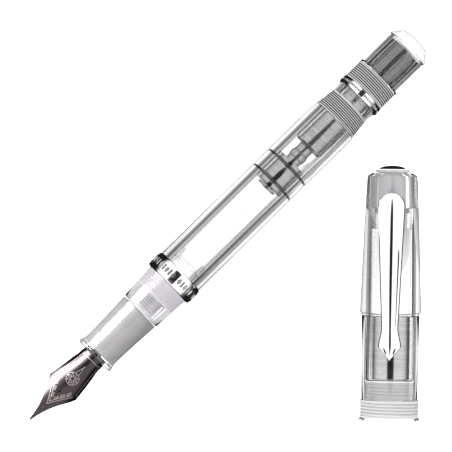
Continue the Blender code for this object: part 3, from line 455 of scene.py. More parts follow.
def nib():
    """The arched plate, thickened inward from its upper face."""
    across, rows = 40, 120
    work = bmesh.new()
    grid = []
    for i in range(rows + 1):
        along = NIB_END * i / rows
        arch = nib_arch_radius(along)
        reach = math.asin(min(0.999, nib_half_width(along) / arch))
        row = []
        for j in range(across + 1):
            angle = reach * (2 * j / across - 1)
            row.append(work.verts.new(on_nib(along, arch * math.sin(angle))))
        grid.append(row)
    for near, far in zip(grid, grid[1:]):
        for j in range(across):
            work.faces.new((near[j], far[j], far[j + 1], near[j + 1]))
    obj = placed("nib_plate", mesh_from(work, "nib_plate", outward=False), PEN, NIB_METAL)
    sheet = obj.modifiers.new("Sheet", "SOLIDIFY")
    sheet.thickness = NIB_THICKNESS
    sheet.offset = -1
    cut_slit_and_hole(obj)
    stand_for(obj, "pen", "nib_metal", "nib")


def cut_slit_and_hole(obj):
    """The slit from the tip to the breather hole, cut right through the plate."""
    tall = 8 * MM
    hole = bmesh.new()
    bmesh.ops.create_cone(hole, cap_ends=True, segments=40, radius1=NIB_HOLE_RADIUS,
                          radius2=NIB_HOLE_RADIUS, depth=tall)
    bmesh.ops.rotate(hole, matrix=Matrix.Rotation(math.pi / 2, 3, "X"), verts=hole.verts)
    bmesh.ops.translate(hole, vec=(0, 0, NIB_HOLE_AT), verts=hole.verts)
    slit = bmesh.new()
    slit_width = 0.03 * MM
    length = NIB_HOLE_AT + 2 * MM
    bmesh.ops.create_cube(slit, size=1.0)
    bmesh.ops.scale(slit, vec=(slit_width, tall, length), verts=slit.verts)
    bmesh.ops.translate(slit, vec=(0, 0, NIB_HOLE_AT - length / 2), verts=slit.verts)
    cutters = []
    for name, work in (("hole", hole), ("slit", slit)):
        tool = added(name, mesh_from(work, name, outward=False))
        tool.matrix_world = PEN.matrix
        boolean = obj.modifiers.new(name, "BOOLEAN")
        boolean.operation = "DIFFERENCE"
        boolean.object = tool
        cutters.append(tool)
    settle(obj)
    for tool in cutters:
        bpy.data.objects.remove(tool)


def settle(obj):
    """Turn the modifiers into mesh."""
    bpy.context.view_layer.update()
    depsgraph = bpy.context.evaluated_depsgraph_get()
    mesh = bpy.data.meshes.new_from_object(obj.evaluated_get(depsgraph))
    obj.modifiers.clear()
    obj.data = mesh
    mesh.shade_smooth()
    mesh.set_sharp_from_angle(angle=SHARP_ANGLE)


def ribbon(work, path, width):
    """A thin raised strip along a path of (along, across) on the nib."""
    lift = 0.018 * MM
    sunk = -0.03 * MM
    rows = []
    for i, (along, across) in enumerate(path):
        before = path[max(0, i - 1)]
        after = path[min(len(path) - 1, i + 1)]
        run = Vector((after[0] - before[0], after[1] - before[1]))
        run.normalize()
        left = (along - run.y * width / 2, across + run.x * width / 2)
        right = (along + run.y * width / 2, across - run.x * width / 2)
        rows.append([work.verts.new(on_nib(*left, lift)), work.verts.new(on_nib(*right, lift)),
                     work.verts.new(on_nib(*right, sunk)), work.verts.new(on_nib(*left, sunk))])
    lofted(work, rows)


def scroll(along, across, radius, start, turns, mirror):
    """A spiral curl on the nib, as (along, across) points."""
    path = []
    steps = 22
    for i in range(steps + 1):
        t = i / steps
        angle = start + turns * math.tau * t
        reach = radius * (1 - 0.75 * t)
        path.append((along + reach * math.cos(angle), mirror * (across + reach * math.sin(angle))))
    return path


def engraving():
    """Border lines, curls and a plain rosette."""
    work = bmesh.new()
    line = 0.13 * MM
    apex = 5.7 * MM
    wing = 11.5 * MM
    for mirror in (1, -1):
        for inset, first in ((0.0, 0.0), (0.42 * MM, 0.9 * MM)):
            path = []
            for i in range(17):
                t = i / 16
                along = apex + first + (wing - apex - first) * t
                across = (3.55 * MM - inset * 1.5) * (t ** 1.12)
                path.append((along, mirror * across))
            ribbon(work, path, line)
        for k in range(3):
            along = apex + (2.2 + 1.45 * k) * MM
            across = (0.55 + 0.80 * k) * MM
            ribbon(work, scroll(along + 0.35 * MM, across, 0.42 * MM, 2.4, 1.35, mirror), line * 0.8)
            ribbon(work, scroll(along + 0.95 * MM, across + 0.25 * MM, 0.30 * MM, -0.7, -1.2, mirror),
                   line * 0.7)
        edge = []
        for i in range(21):
            along = wing + 0.6 * MM + (NIB_REACH - wing - 1.2 * MM) * i / 20
            edge.append((along, mirror * (nib_half_width(along) - 0.75 * MM)))
        ribbon(work, edge, line * 0.7)
    middle = 14.6 * MM
    petals = 8
    for k in range(petals):
        path = []
        heading = math.tau * k / petals
        for i in range(15):
            t = i / 14
            reach = 1.05 * MM * math.sin(math.pi * t) + 0.35 * MM
            turn = heading + (t - 0.5) * 0.75
            path.append((middle + reach * math.cos(turn), reach * math.sin(turn)))
        ribbon(work, path, line * 0.8)
    ring_radius = 1.62 * MM
    turns = [math.tau * i / 48 for i in range(49)]
    ring = [(middle + ring_radius * math.cos(turn), ring_radius * math.sin(turn)) for turn in turns]
    ribbon(work, ring, line * 0.9)
    for mirror in (1, -1):
        tail = [(middle + (1.7 + 2.6 * i / 12) * MM, mirror * 0.5 * MM * (1 - i / 12) ** 1.3)
                for i in range(13)]
        ribbon(work, tail, line * 0.8)
    cross_at = NIB_REACH - 1.15 * MM
    half = nib_half_width(cross_at) - 0.55 * MM
    ribbon(work, [(cross_at, half * (2 * i / 24 - 1)) for i in range(25)], line)
    obj = placed("nib_engraving", mesh_from(work, "nib_engraving"), PEN, ENGRAVED)
    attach(obj, "pen")


def tipping():
    """The hard ball welded under the nib's tip."""
    radius = 0.34 * MM
    work = bmesh.new()
    bmesh.ops.create_uvsphere(work, u_segments=32, v_segments=16, radius=radius)
    bmesh.ops.scale(work, vec=(0.85, 1.0, 1.5), verts=work.verts)
    bmesh.ops.translate(work, vec=(0, nib_crown(0) - 0.22 * MM, 1.5 * radius + 0.02 * MM),
                        verts=work.verts)
    obj = placed("nib_tipping", mesh_from(work, "nib_tipping", outward=False), PEN, CHROME)
    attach(obj, "pen")


def feed():
    """The finned feed under the nib: thin combs hang from a round spine."""
    start, end, _, _ = PEN.span("feed")
    radius_full = NIB_BASE_RADIUS - NIB_THICKNESS - 0.12 * MM
    tip_radius = 0.45 * MM
    work = bmesh.new()
    rows = []
    count = 150
    sides = 48
    fin_from = start + 5 * MM
    pitch = 0.62 * MM
    for i in range(count + 1):
        along = start + (end - start) * i / count
        share = min(1.0, (along - start) / (GRIP_START - start))
        radius = tip_radius + (radius_full - tip_radius) * ease_step(share) ** 0.8
        top = nib_crown(along) - NIB_THICKNESS - (0.24 if along < GRIP_START else 0.12) * MM
        in_fins = fin_from < along < GRIP_START - 0.5 * MM
        comb = 0.30 * MM if in_fins and (along / pitch) % 1.0 < 0.45 else 0.0
        row = []
        for j in range(sides):
            angle = math.tau * j / sides
            low = max(0.0, -math.sin(angle)) ** 0.5
            reach = radius - comb * low
            row.append(work.verts.new((reach * math.cos(angle), top - radius + reach * math.sin(angle),
                                       along)))
        rows.append(row)
    lofted(work, rows)
    comb = placed("feed_comb", mesh_from(work, "feed_comb"), PEN, FEED_BLACK)
    stand_for(comb, "pen", "feed_plastic", "feed")


# ---------------------------------------------------------------- grip and collar

def grip():
    """Clear resin cast round a grey core, so the core's grey fills it from edge to edge."""
    mouth = 3.42 * MM
    core_radius = 3.9 * MM
    lip = 1.3 * MM
    waist_at = GRIP_START + 2.6 * MM
    waist = 4.92 * MM
    outer = [(mouth, GRIP_START)]
    for i in range(13):
        angle = math.radians(-90 + 140 * i / 12)
        outer.append((GRIP_RADIUS - lip / 2 + lip / 2 * math.cos(angle),
                      GRIP_START + lip / 2 + lip / 2 * math.sin(angle)))
    for i in range(13):
        share = i / 12
        outer.append((waist + (GRIP_RADIUS - waist) * share ** 1.3,
                      waist_at + (GRIP_END - waist_at) * share))
    inner = [(mouth, GRIP_START + 0.9 * MM), (core_radius, GRIP_START + 1.3 * MM), (core_radius, GRIP_END)]
    stand_for(sleeve("grip_resin", PEN, outer, inner, CLEAR, ease=0.03 * MM), "pen", "grip_resin",
              "grip_section")


def core():
    """The core is grey inside the grip and clear and threaded behind it."""
    start, end, tenon, bore = PEN.span("section_core")
    collar_start = PEN.span("thread_collar")[0]
    barrel_start = PEN.span("barrel")[0]
    radius = 3.97 * MM
    grey = sleeve("section_core_grey", PEN, [(radius, start), (radius, GRIP_END)],
                  [(bore, start), (bore, GRIP_END)], GREY_CORE)
    stand_for(grey, "pen", "clear_resin", "section_core")
    pitch = 0.62 * MM
    first = collar_start + 0.3 * MM
    last = barrel_start - 0.3 * MM
    outer = [(radius, GRIP_END + 0.02 * MM), (radius, first)]
    outer += thread_rows(first, last, pitch, lambda place: radius)[1:-1]
    outer += [(radius, last), (radius, barrel_start), (tenon, barrel_start), (tenon, end)]
    inner = [(bore, GRIP_END + 0.02 * MM), (bore, end)]
    shape = thread(first, last, pitch, 0.18 * MM, radius - 0.05 * MM)
    clear = revolved("section_core_clear", PEN, list(reversed(outer)) + inner, True, CLEAR, shape)
    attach(clear, "pen")


def gasket():
    """The pale washer behind the grip, and the ring on the core's tenon."""
    tube("gasket_ring", PEN, "section_gasket", WHITE, "pen", "white_seal")
    start, end, outer, _ = PEN.span("tenon_seal")
    middle = (start + end) / 2
    stand_for(torus("tenon_ring", middle, outer + BURIED, (end - start) / 2, SILICONE, 0.6),
              "pen", "white_seal", "tenon_seal")


def torus(name, middle, outer, half_width, look, depth):
    """A rubber ring squeezed flat against the wall at the given radius."""
    outline = []
    steps = 32
    tall = half_width * depth
    for i in range(steps):
        angle = math.tau * i / steps
        out = math.copysign(abs(math.cos(angle)) ** 0.35, math.cos(angle))
        sideways = math.copysign(abs(math.sin(angle)) ** 0.55, math.sin(angle))
        outline.append((outer - tall + tall * out, middle - half_width * sideways))
    return revolved(name, PEN, outline, True, look)


def collar():
    """The tinted collar, with the cap's thread cut into its rear half."""
    start, end, rear, bore = PEN.span("thread_collar")
    front = 5.55 * MM
    radius = straight(start, front, end, rear)
    first = end - 4.9 * MM
    last = end - 0.1 * MM
    outer = [(front, start), (radius(first), first), (radius(first) - SKIN, first + 0.01 * MM),
             (radius(last) - SKIN, last), (rear, last + 0.01 * MM), (rear, end)]
    stand_for(sleeve("collar_resin", PEN, outer, [(bore, start), (bore, end)], LAVENDER, ease=0.004 * MM),
              "pen", "tinted_resin", "thread_collar")
    threaded_skin("collar_threads", PEN, "pen", first + 0.02 * MM, last - 0.01 * MM, 0.52 * MM, 0.12 * MM,
                  radius, COLLAR_FROSTED)


def ornament(start, end, radius, repeats, depth):
    """Lozenges and bars pressed into a band, evenly round it."""
    def shape(reach, place, angle):
        if reach < radius - 0.01 * MM or not start < place < end:
            return reach
        across = (place - start) / (end - start) * 2 - 1
        turn = (angle / math.tau * repeats) % 1.0
        around = abs(turn - 0.5) * 2
        lozenge = abs(across) + around * 1.9
        inside_ring = 0.45 < lozenge < 0.85
        dot = lozenge < 0.22
        bar = around > 0.80 and abs(across) < 0.72
        return reach - depth if inside_ring or dot or bar else reach
    return shape


def band(name, node, rim, body, repeats):
    """A metal band between two stepped rims, with the ornament pressed into its face."""
    start, end, outer, bore = PEN.span(node)
    low = outer - 0.2 * MM
    face_start = start + rim
    face_end = end - rim
    rows = 28
    face = [(outer, face_start + (face_end - face_start) * i / rows) for i in range(rows + 1)]
    profile = [(low, start), (low + 0.08 * MM, start + rim * 0.3), (low + 0.08 * MM, start + rim * 0.75),
               (low - 0.05 * MM, start + rim * 0.85), (low - 0.05 * MM, face_start)]
    mirror = [(radius, start + end - place) for radius, place in reversed(profile)]
    outline = list(reversed(profile + face + mirror)) + [(bore, start), (bore, end)]
    shape = ornament(face_start + 0.25 * MM, face_end - 0.25 * MM, outer, repeats, 0.16 * MM)
    piece = revolved(name, PEN, outline, True, ORNAMENTED, shape, 480)
    stand_for(piece, body, "chrome", node)


# ---------------------------------------------------------------- barrel, piston, mechanism

def barrel():
    tube("barrel_tube", PEN, "barrel", CLEAR, "pen", "clear_resin", ease=0.2 * MM)


def piston():
    """The piston's head, with a nose disc and two grooves, and its two black rings."""
    start, end, outer, _ = PEN.span("piston_head")
    front_seal = PEN.span("piston_seal_front")
    rear_seal = PEN.span("piston_seal_rear")
    nose = 2.6 * MM
    nose_neck = 1.3 * MM
    disc = 0.45 * MM
    body = start + 0.8 * MM
    floor = front_seal[3] - 0.02 * MM
    profile = [(0, start), (nose, start), (nose, start + disc), (nose_neck, start + disc),
               (nose_neck, body), (outer, body)]
    for seal in (front_seal, rear_seal):
        gap = 0.06 * MM
        profile += [(outer, seal[0] - gap), (floor, seal[0] - gap), (floor, seal[1] + gap),
                    (outer, seal[1] + gap)]
    profile += [(outer, end), (0, end)]
    stand_for(solid("piston_body", PEN, profile, STEEL, ease=0.05 * MM), "piston", "steel", "piston_head")
    wall = PEN.span("barrel")[3]
    for name, node, seal in (("seal_ring_front", "piston_seal_front", front_seal),
                             ("seal_ring_rear", "piston_seal_rear", rear_seal)):
        middle = (seal[0] + seal[1]) / 2
        ring = torus(name, middle, wall + BURIED, (seal[1] - seal[0]) / 2 + 0.06 * MM, RUBBER, 1.1)
        stand_for(ring, "piston", "rubber", node)


def rod():
    """The rod, which swells just behind the piston."""
    start, end, bulge, _ = PEN.span("piston_rod")
    radius = 2.0 * MM
    piston_end = PEN.span("piston_head")[1]
    first = piston_end + 1.2 * MM
    last = first + 2.0 * MM
    profile = [(0, start), (radius, start), (radius, first), (bulge, first + 0.35 * MM),
               (bulge, last - 0.35 * MM), (radius, last), (radius, end), (0, end)]
    stand_for(solid("rod_shaft", PEN, profile, STEEL), "piston", "steel", "piston_rod")


def housing():
    """The metal housing, which runs from inside the barrel to the knob."""
    start, end, boss, _ = PEN.span("mechanism_housing")
    barrel_end = PEN.span("barrel")[1]
    radius = 4.05 * MM
    chamfer = 0.7 * MM
    bore = 2.33 * MM
    spindle_bore = 3.01 * MM
    step = barrel_end + 0.12 * MM
    outer = [(radius - chamfer, start), (radius, start + chamfer), (radius, step), (boss, step),
             (boss, step + 7.0 * MM), (boss - 0.15 * MM, step + 7.1 * MM),
             (boss - 0.15 * MM, step + 7.5 * MM), (boss, step + 7.6 * MM), (boss, end)]
    inner = [(bore, start), (bore, start + 2 * MM), (spindle_bore, start + 2 * MM), (spindle_bore, end)]
    stand_for(sleeve("housing_tube", PEN, outer, inner, STEEL), "pen", "steel", "mechanism_housing")


def knob():
    """The knob under the tail cap, with fine flutes round it."""
    start, end, outer, _ = PEN.span("piston_knob")
    flutes = 30
    grip_start = start + 1.4 * MM
    grip_end = end - 1.2 * MM

    def shape(radius, place, angle):
        if radius < outer - 0.05 * MM or not grip_start < place < grip_end:
            return radius
        return radius - 0.05 * MM * (0.5 + 0.5 * math.cos(flutes * angle))
    rows = [(outer, grip_start + (grip_end - grip_start) * i / 8) for i in range(9)]
    profile = [(0, end - 0.8 * MM), (2.2 * MM, end - 0.8 * MM), (2.2 * MM, start), (outer, start)]
    profile += [(outer, grip_start - 0.02 * MM)] + rows
    profile += [(outer, grip_end + 0.02 * MM), (outer, end), (0, end)]
    piece = revolved("knob_body", PEN, eased(profile, False, 0.15 * MM), False, DARK_STEEL, shape, 240)
    stand_for(piece, "knob", "dark_steel", "piston_knob")


def carried_over():
    """CAD nodes that keep their shape and take a finish."""
    for node, look in (("spindle", BRASS), ("spindle_bush", WHITE), ("clip_tongue", CHROME)):
        slots = frame["nodes"][node].data.materials
        slots.clear()
        slots.append(look)


# ---------------------------------------------------------------- tail

def housing_collar():
    """The clear threaded collar behind the barrel."""
    start, end, front, bore = PEN.span("housing_collar")
    rear = bore + 1.2 * MM
    last = start + 5.3 * MM
    radius = straight(start, front, last, rear)
    outer = [(radius(start) - SKIN, start), (radius(last) - SKIN, last), (rear, last + 0.05 * MM),
             (rear, end)]
    stand_for(sleeve("neck_resin", PEN, outer, [(bore, start), (bore, end)], CLEAR), "pen", "clear_resin",
              "housing_collar")
    threaded_skin("neck_threads", PEN, "pen", start, last, 0.53 * MM, 0.20 * MM, radius, FROSTED)


def tail():
    """The tail cap with its ribbed skirt, and the domed end that plugs it."""
    start, end, skirt, bore = PEN.span("tail_cap")
    tube = skirt - 0.6 * MM
    last = start + 5.0 * MM
    step = start + 5.6 * MM
    outer = [(skirt - SKIN, start), (skirt - SKIN, last), (skirt, last + 0.1 * MM), (skirt, step),
             (tube, step + 0.12 * MM), (tube, end)]
    stand_for(sleeve("tail_tube", PEN, outer, [(bore, start), (bore, end)], CLEAR), "tail_cap",
              "clear_resin", "tail_cap")
    threaded_skin("tail_threads", PEN, "tail_cap", start, last, 0.55 * MM, 0.20 * MM,
                  lambda place: skirt, FROSTED)
    start, end, rim, _ = PEN.span("tail_finial")
    plug = bore - 0.12 * MM
    seat = start + 0.8 * MM
    rim_end = seat + 0.9 * MM
    dome = 5.0 * MM
    profile = [(0, start), (plug, start), (plug, seat), (rim, seat), (rim, rim_end)]
    for i in range(25):
        angle = math.radians(90 * i / 24)
        radius = dome * math.cos(angle) ** 0.5 if i < 24 else 0
        profile.append((radius, rim_end + (end - rim_end) * math.sin(angle)))
    stand_for(solid("finial_dome", PEN, profile, CLEAR, ease=0.04 * MM), "tail_cap", "clear_resin",
              "tail_finial")


# ---------------------------------------------------------------- cap

def cap_walls():
    """The clear outer pieces of the cap, from its top to its mouth."""
    start, end, rear, post_bore = CAP.span("cap_shell")
    cap_bore = CAP.span("cap_sleeve")[3]
    inner_start, inner_end, inner_radius, _ = CAP.span("inner_cap")
    shoulder = start + 0.78 * MM
    upper_bore = inner_radius + 0.12 * MM
    outer = [(5.0 * MM, start), (cap_bore + 0.1 * MM, shoulder), (cap_bore + 0.75 * MM, inner_end),
             (rear, end)]
    inner = [(post_bore, start), (post_bore, inner_start - 0.12 * MM),
             (upper_bore, inner_start - 0.12 * MM), (upper_bore, end)]
    stand_for(sleeve("cap_upper", CAP, outer, inner, CLEAR, ease=0.15 * MM), "cap", "clear_resin",
              "cap_shell")
    tube("cap_joint", CAP, "cap_ring", CLEAR, "cap", "clear_resin")
    start, end, outer_radius, bore = CAP.span("cap_sleeve")
    stand_for(sleeve("cap_lower", CAP, [(outer_radius, start), (outer_radius - 0.2 * MM, end)],
                     [(bore, start), (bore, end)], CLEAR, ease=0.12 * MM), "cap", "clear_resin",
              "cap_sleeve")
    start, end, lip, bore = CAP.span("cap_mouth")
    crest = lip - 0.2 * MM
    pitch = 0.8 * MM
    first = start + 0.1 * MM
    last = end - 0.75 * MM
    mouth_bore = 6.4 * MM
    under = crest - SKIN
    outer = [(under, start), (under, last), (crest, last + 0.05 * MM), (lip, end - 0.4 * MM), (lip, end)]
    inner = [(bore, start), (mouth_bore, start + 0.5 * MM), (mouth_bore, end)]
    stand_for(sleeve("mouth_ring", CAP, outer, inner, CLEAR), "cap", "clear_resin", "cap_mouth")
    threaded_skin("mouth_threads", CAP, "cap", first, last, pitch, 0.20 * MM, lambda place: crest,
                  MOUTH_FROSTED)
    threaded_skin("cap_inner_threads", CAP, "cap", CAP.span("cap_liner")[1] + 0.3 * MM, start - 0.2 * MM,
                  pitch, 0.10 * MM, lambda place: cap_bore - 0.02 * MM, INNER_FROSTED)


def cap_insides():
    """The liner, the cup that seals the nib, the centre post and the black end."""
    liner_start, liner_end, liner, liner_bore = CAP.span("cap_liner")
    outer = [(liner, liner_start), (liner, liner_end - 0.4 * MM), (liner - 0.3 * MM, liner_end)]
    inner = [(liner_bore, liner_start), (liner_bore, liner_end)]
    stand_for(sleeve("liner_tube", CAP, outer, inner, LINER_STEEL, ease=0.04 * MM), "cap", "steel",
              "cap_liner")
    inner_start, inner_end, inner_radius, _ = CAP.span("inner_cap")
    wall = 0.9 * MM
    floor = inner_start + 1.2 * MM
    profile = [(0, inner_start), (inner_radius, inner_start), (inner_radius, inner_end),
               (inner_radius - wall, inner_end), (inner_radius - wall, floor), (0, floor)]
    stand_for(solid("inner_cup", CAP, profile, CLEAR), "cap", "clear_resin", "inner_cap")
    start, end, head, _ = CAP.span("finial_post")
    head_end = start + 0.7 * MM
    radius = 3.6 * MM
    profile = [(0, start), (head, start), (head, head_end), (radius, head_end), (radius, end), (0, end)]
    stand_for(solid("post_stem", CAP, profile, MILKY), "cap", "clear_resin", "finial_post")
    start, end, radius, _ = CAP.span("finial_gem")
    profile = []
    for i in range(25):
        angle = math.radians(90 * i / 24)
        profile.append((radius * math.sin(angle) if i else 0, start + (end - start) * (1 - math.cos(angle))))
    profile.append((0, end))
    stand_for(solid("gem_cabochon", CAP, profile, GEM, ease=0.03 * MM), "cap", "black_gem", "finial_gem")


# ---------------------------------------------------------------- clip

CLIP_START, CLIP_END, _, _ = CAP.span("clip")
CLIP_HEAD_HALF = 3.4 * MM
CLIP_NECK_HALF = 2.1 * MM
CLIP_ARROW_HALF = 2.85 * MM
CLIP_ARROW_AT = CLIP_END - 3.3 * MM
CLIP_NECK_AT = CLIP_ARROW_AT - 4.8 * MM
CLIP_THICKNESS = 0.8 * MM
CLIP_EDGE = 0.24 * MM       # width of the bevel along each edge
CLIP_EDGE_DROP = 0.42 * MM
CLIP_SPINE = 0.30 * MM      # half width of the flat along the middle
CLIP_CROWN = 0.50 * MM      # how far the edges lie below the spine
CLIP_FLUTE_AT = 0.60        # of the half width
CLIP_FLUTE_DEPTH = 0.045 * MM
CLIP_HEAD_LOW = CAP.span("cap_sleeve")[3] + 1.35 * MM
CLIP_TIP_LOW = CAP.span("cap_shell")[2] + 0.95 * MM
CLIP_ARCH = 1.3 * MM


def clip_half(along):
    """Half the blade's width: a round head, a taper to the neck, then the arrowhead."""
    from_top = along - CLIP_START
    if from_top < CLIP_HEAD_HALF:
        return math.sqrt(max(0.0, CLIP_HEAD_HALF ** 2 - (CLIP_HEAD_HALF - from_top) ** 2))
    if along < CLIP_NECK_AT:
        share = (along - CLIP_START - CLIP_HEAD_HALF) / (CLIP_NECK_AT - CLIP_START - CLIP_HEAD_HALF)
        return CLIP_HEAD_HALF + (CLIP_NECK_HALF - CLIP_HEAD_HALF) * share
    if along < CLIP_ARROW_AT:
        share = (along - CLIP_NECK_AT) / (CLIP_ARROW_AT - CLIP_NECK_AT)
        return CLIP_NECK_HALF + (CLIP_ARROW_HALF - CLIP_NECK_HALF) * ease_step(share)
    return CLIP_ARROW_HALF * (CLIP_END - along) / (CLIP_END - CLIP_ARROW_AT)


def clip_low(along):
    """Height of the clip's underside above the cap's axis."""
    share = (along - CLIP_START) / (CLIP_END - CLIP_START)
    arch = CLIP_ARCH * max(0.0, math.sin(math.pi * share)) ** 0.8
    return CLIP_HEAD_LOW + (CLIP_TIP_LOW - CLIP_HEAD_LOW) * share + arch


def clip_places(half):
    """Places across the blade, from its left edge to its right."""
    edge = min(CLIP_EDGE, 0.2 * half)
    spine = min(CLIP_SPINE, 0.3 * half)
    steps = 14
    right = [spine + (half - edge - spine) * i / steps for i in range(steps + 1)] + [half]
    return [-place for place in reversed(right)] + right


def clip_drop(place, half, flute):
    """How far the face lies below its spine."""
    spine = min(CLIP_SPINE, 0.3 * half)
    slope = min(CLIP_CROWN, 0.30 * half) * max(0.0, abs(place) - spine) / (half - spine)
    drop = slope + CLIP_FLUTE_DEPTH * flute * math.exp(-((abs(place) / half - CLIP_FLUTE_AT) / 0.05) ** 2)
    if abs(place) >= half * 0.9999:
        drop += CLIP_EDGE_DROP
    return min(drop, CLIP_THICKNESS - 0.04 * MM)


def clip():
    """A roof-shaped blade with a flat spine, two faint flutes and an arrowhead with two dark inlays."""
    rows = 180
    work = bmesh.new()
    tops, bottoms = [], []
    for i in range(rows + 1):
        along = CLIP_START + (CLIP_END - CLIP_START) * (0.5 - 0.5 * math.cos(math.pi * i / rows))
        half = max(clip_half(along), 0.10 * MM)
        flute = ease_step((along - CLIP_START - 13 * MM) / (4 * MM))
        flute *= ease_step((CLIP_NECK_AT + 1.0 * MM - along) / (2 * MM))
        low = clip_low(along)
        places = clip_places(half)
        tops.append([work.verts.new((place, low + CLIP_THICKNESS - clip_drop(place, half, flute), along))
                     for place in places])
        bottoms.append([work.verts.new((place, low + 0.02 * MM, along)) for place in places])
    across = len(tops[0]) - 1
    for i in range(rows):
        for j in range(across):
            work.faces.new((tops[i][j], tops[i][j + 1], tops[i + 1][j + 1], tops[i + 1][j]))
            work.faces.new((bottoms[i][j], bottoms[i + 1][j], bottoms[i + 1][j + 1], bottoms[i][j + 1]))
        for j in (0, across):
            work.faces.new((tops[i][j], tops[i + 1][j], bottoms[i + 1][j], bottoms[i][j]))
    for i in (0, rows):
        for j in range(across):
            work.faces.new((tops[i][j], tops[i][j + 1], bottoms[i][j + 1], bottoms[i][j]))
    blade = placed("clip_blade", mesh_from(work, "clip_blade"), CAP, CHROME)
    stand_for(blade, "clip", "chrome", "clip")
    foot_low, foot_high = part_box("clip_foot")
    work = bmesh.new()
    bmesh.ops.create_uvsphere(work, u_segments=40, v_segments=24, radius=(foot_high - foot_low).x / 2)
    ball = placed("clip_ball", mesh_from(work, "clip_ball", outward=False), CAP, CHROME)
    ball.matrix_world = Matrix.Translation((foot_low + foot_high) / 2)
    stand_for(ball, "clip", "chrome", "clip_foot")
    inlay("clip_inlay_left", -1)
    inlay("clip_inlay_right", 1)


def inlay(name, side):
    """A drop of black enamel let into the arrowhead, slanting in towards its point."""
    near = Vector((side * 1.50 * MM, 0, CLIP_END - 3.1 * MM))
    far = Vector((side * 0.80 * MM, 0, CLIP_END - 1.45 * MM))
    along = (far - near).normalized()
    across = Vector((along.z, 0, -along.x))
    proud = 0.015 * MM
    work = bmesh.new()
    count = 24
    top, bottom = [], []
    for i in range(count):
        angle = math.tau * i / count
        middle = near + (far - near) * (0.5 + 0.5 * math.cos(angle))
        point = middle + across * 0.21 * MM * math.sin(angle)
        height = clip_low(point.z) + CLIP_THICKNESS - clip_drop(point.x, clip_half(point.z), 0) + proud
        top.append(work.verts.new((point.x, height, point.z)))
        bottom.append(work.verts.new((point.x, height - 0.2 * MM, point.z)))
    lofted(work, (top, bottom))
    piece = placed(name, mesh_from(work, name), CAP, GEM)
    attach(piece, "clip")


# ---------------------------------------------------------------- studio

def sheet(name, low, high, look):
    """A level rectangle of the studio between two opposite corners."""
    (left, near), (right, far) = low, high
    mesh = bpy.data.meshes.new(name)
    mesh.from_pydata([(left, near, 0), (right, near, 0), (right, far, 0), (left, far, 0)], [],
                     [(0, 1, 2, 3)])
    mesh.materials.append(look)
    obj = added(name, mesh)
    return obj


def matt(name, value, **values):
    """A plain grey without any gloss."""
    return blank_material(name, Base_Color=(value, value, value, 1), Roughness=1.0,
                          Specular_IOR_Level=0.0, **values)[0]


def floor():
    """A white light table."""
    half = 3.0
    work = bmesh.new()
    bmesh.ops.create_grid(work, x_segments=2, y_segments=2, size=half)
    mesh = mesh_from(work, "light_table", outward=False)
    mesh.materials.append(matt("table_white", 0.9, Emission_Color=(1, 1, 1, 1), Emission_Strength=1.2))
    obj = added("light_table", mesh)
    obj.location.z = -0.2 * MM


CAMERA_AT = Vector((-0.0768, 0.0115, 0.83))
CAMERA_AIM = Vector((-0.00066, -0.00046, 0.007))
CAMERA_ROLL = -0.01438
CAMERA_LENS = 264.2
ROOM_GLOW = 1.3
BACKDROP = 0.93             # the grey that the camera sees past the table
# The room's brightness by how nearly a direction points to the camera's place, as a cosine.
ROOM = ((0.0, 0.06), (0.16, 0.10), (0.34, 0.75), (0.60, 1.0), (0.956, 1.0), (0.968, 0.02), (1.0, 0.015))


def camera():
    data = bpy.data.cameras.new("camera")
    data.lens = CAMERA_LENS
    data.sensor_width = 36.0
    data.clip_start = 0.01
    data.clip_end = 20.0
    obj = added("camera", data)
    forward = (CAMERA_AIM - CAMERA_AT).normalized()
    rough_up = Vector((math.sin(CAMERA_ROLL), math.cos(CAMERA_ROLL), 0))
    right = forward.cross(rough_up).normalized()
    up = right.cross(forward)
    obj.matrix_world = Matrix.Translation(CAMERA_AT) @ Matrix((right, up, -forward)).transposed().to_4x4()
    bpy.context.scene.camera = obj


def world():
    """A soft white room with a dark patch overhead, where the camera hangs."""
    made = bpy.data.worlds.new("studio")
    bpy.context.scene.world = made
    made.use_nodes = True
    nodes, links = made.node_tree.nodes, made.node_tree.links
    background = nodes["Background"]
    coordinates = nodes.new("ShaderNodeTexCoord")
    dot = nodes.new("ShaderNodeVectorMath")
    dot.operation = "DOT_PRODUCT"
    dot.inputs[1].default_value = (CAMERA_AT - CAMERA_AIM).normalized()
    links.new(coordinates.outputs["Generated"], dot.inputs[0])
    graded(nodes, links, dot.outputs["Value"], greys(ROOM), background.inputs["Color"])
    background.inputs["Strength"].default_value = ROOM_GLOW
    plain = nodes.new("ShaderNodeBackground")
    plain.inputs["Color"].default_value = (BACKDROP, BACKDROP, BACKDROP, 1)
    path = nodes.new("ShaderNodeLightPath")
    mix = nodes.new("ShaderNodeMixShader")
    links.new(path.outputs["Is Camera Ray"], mix.inputs["Fac"])
    links.new(background.outputs["Background"], mix.inputs[1])
    links.new(plain.outputs["Background"], mix.inputs[2])
    links.new(mix.outputs["Shader"], nodes["World Output"].inputs["Surface"])


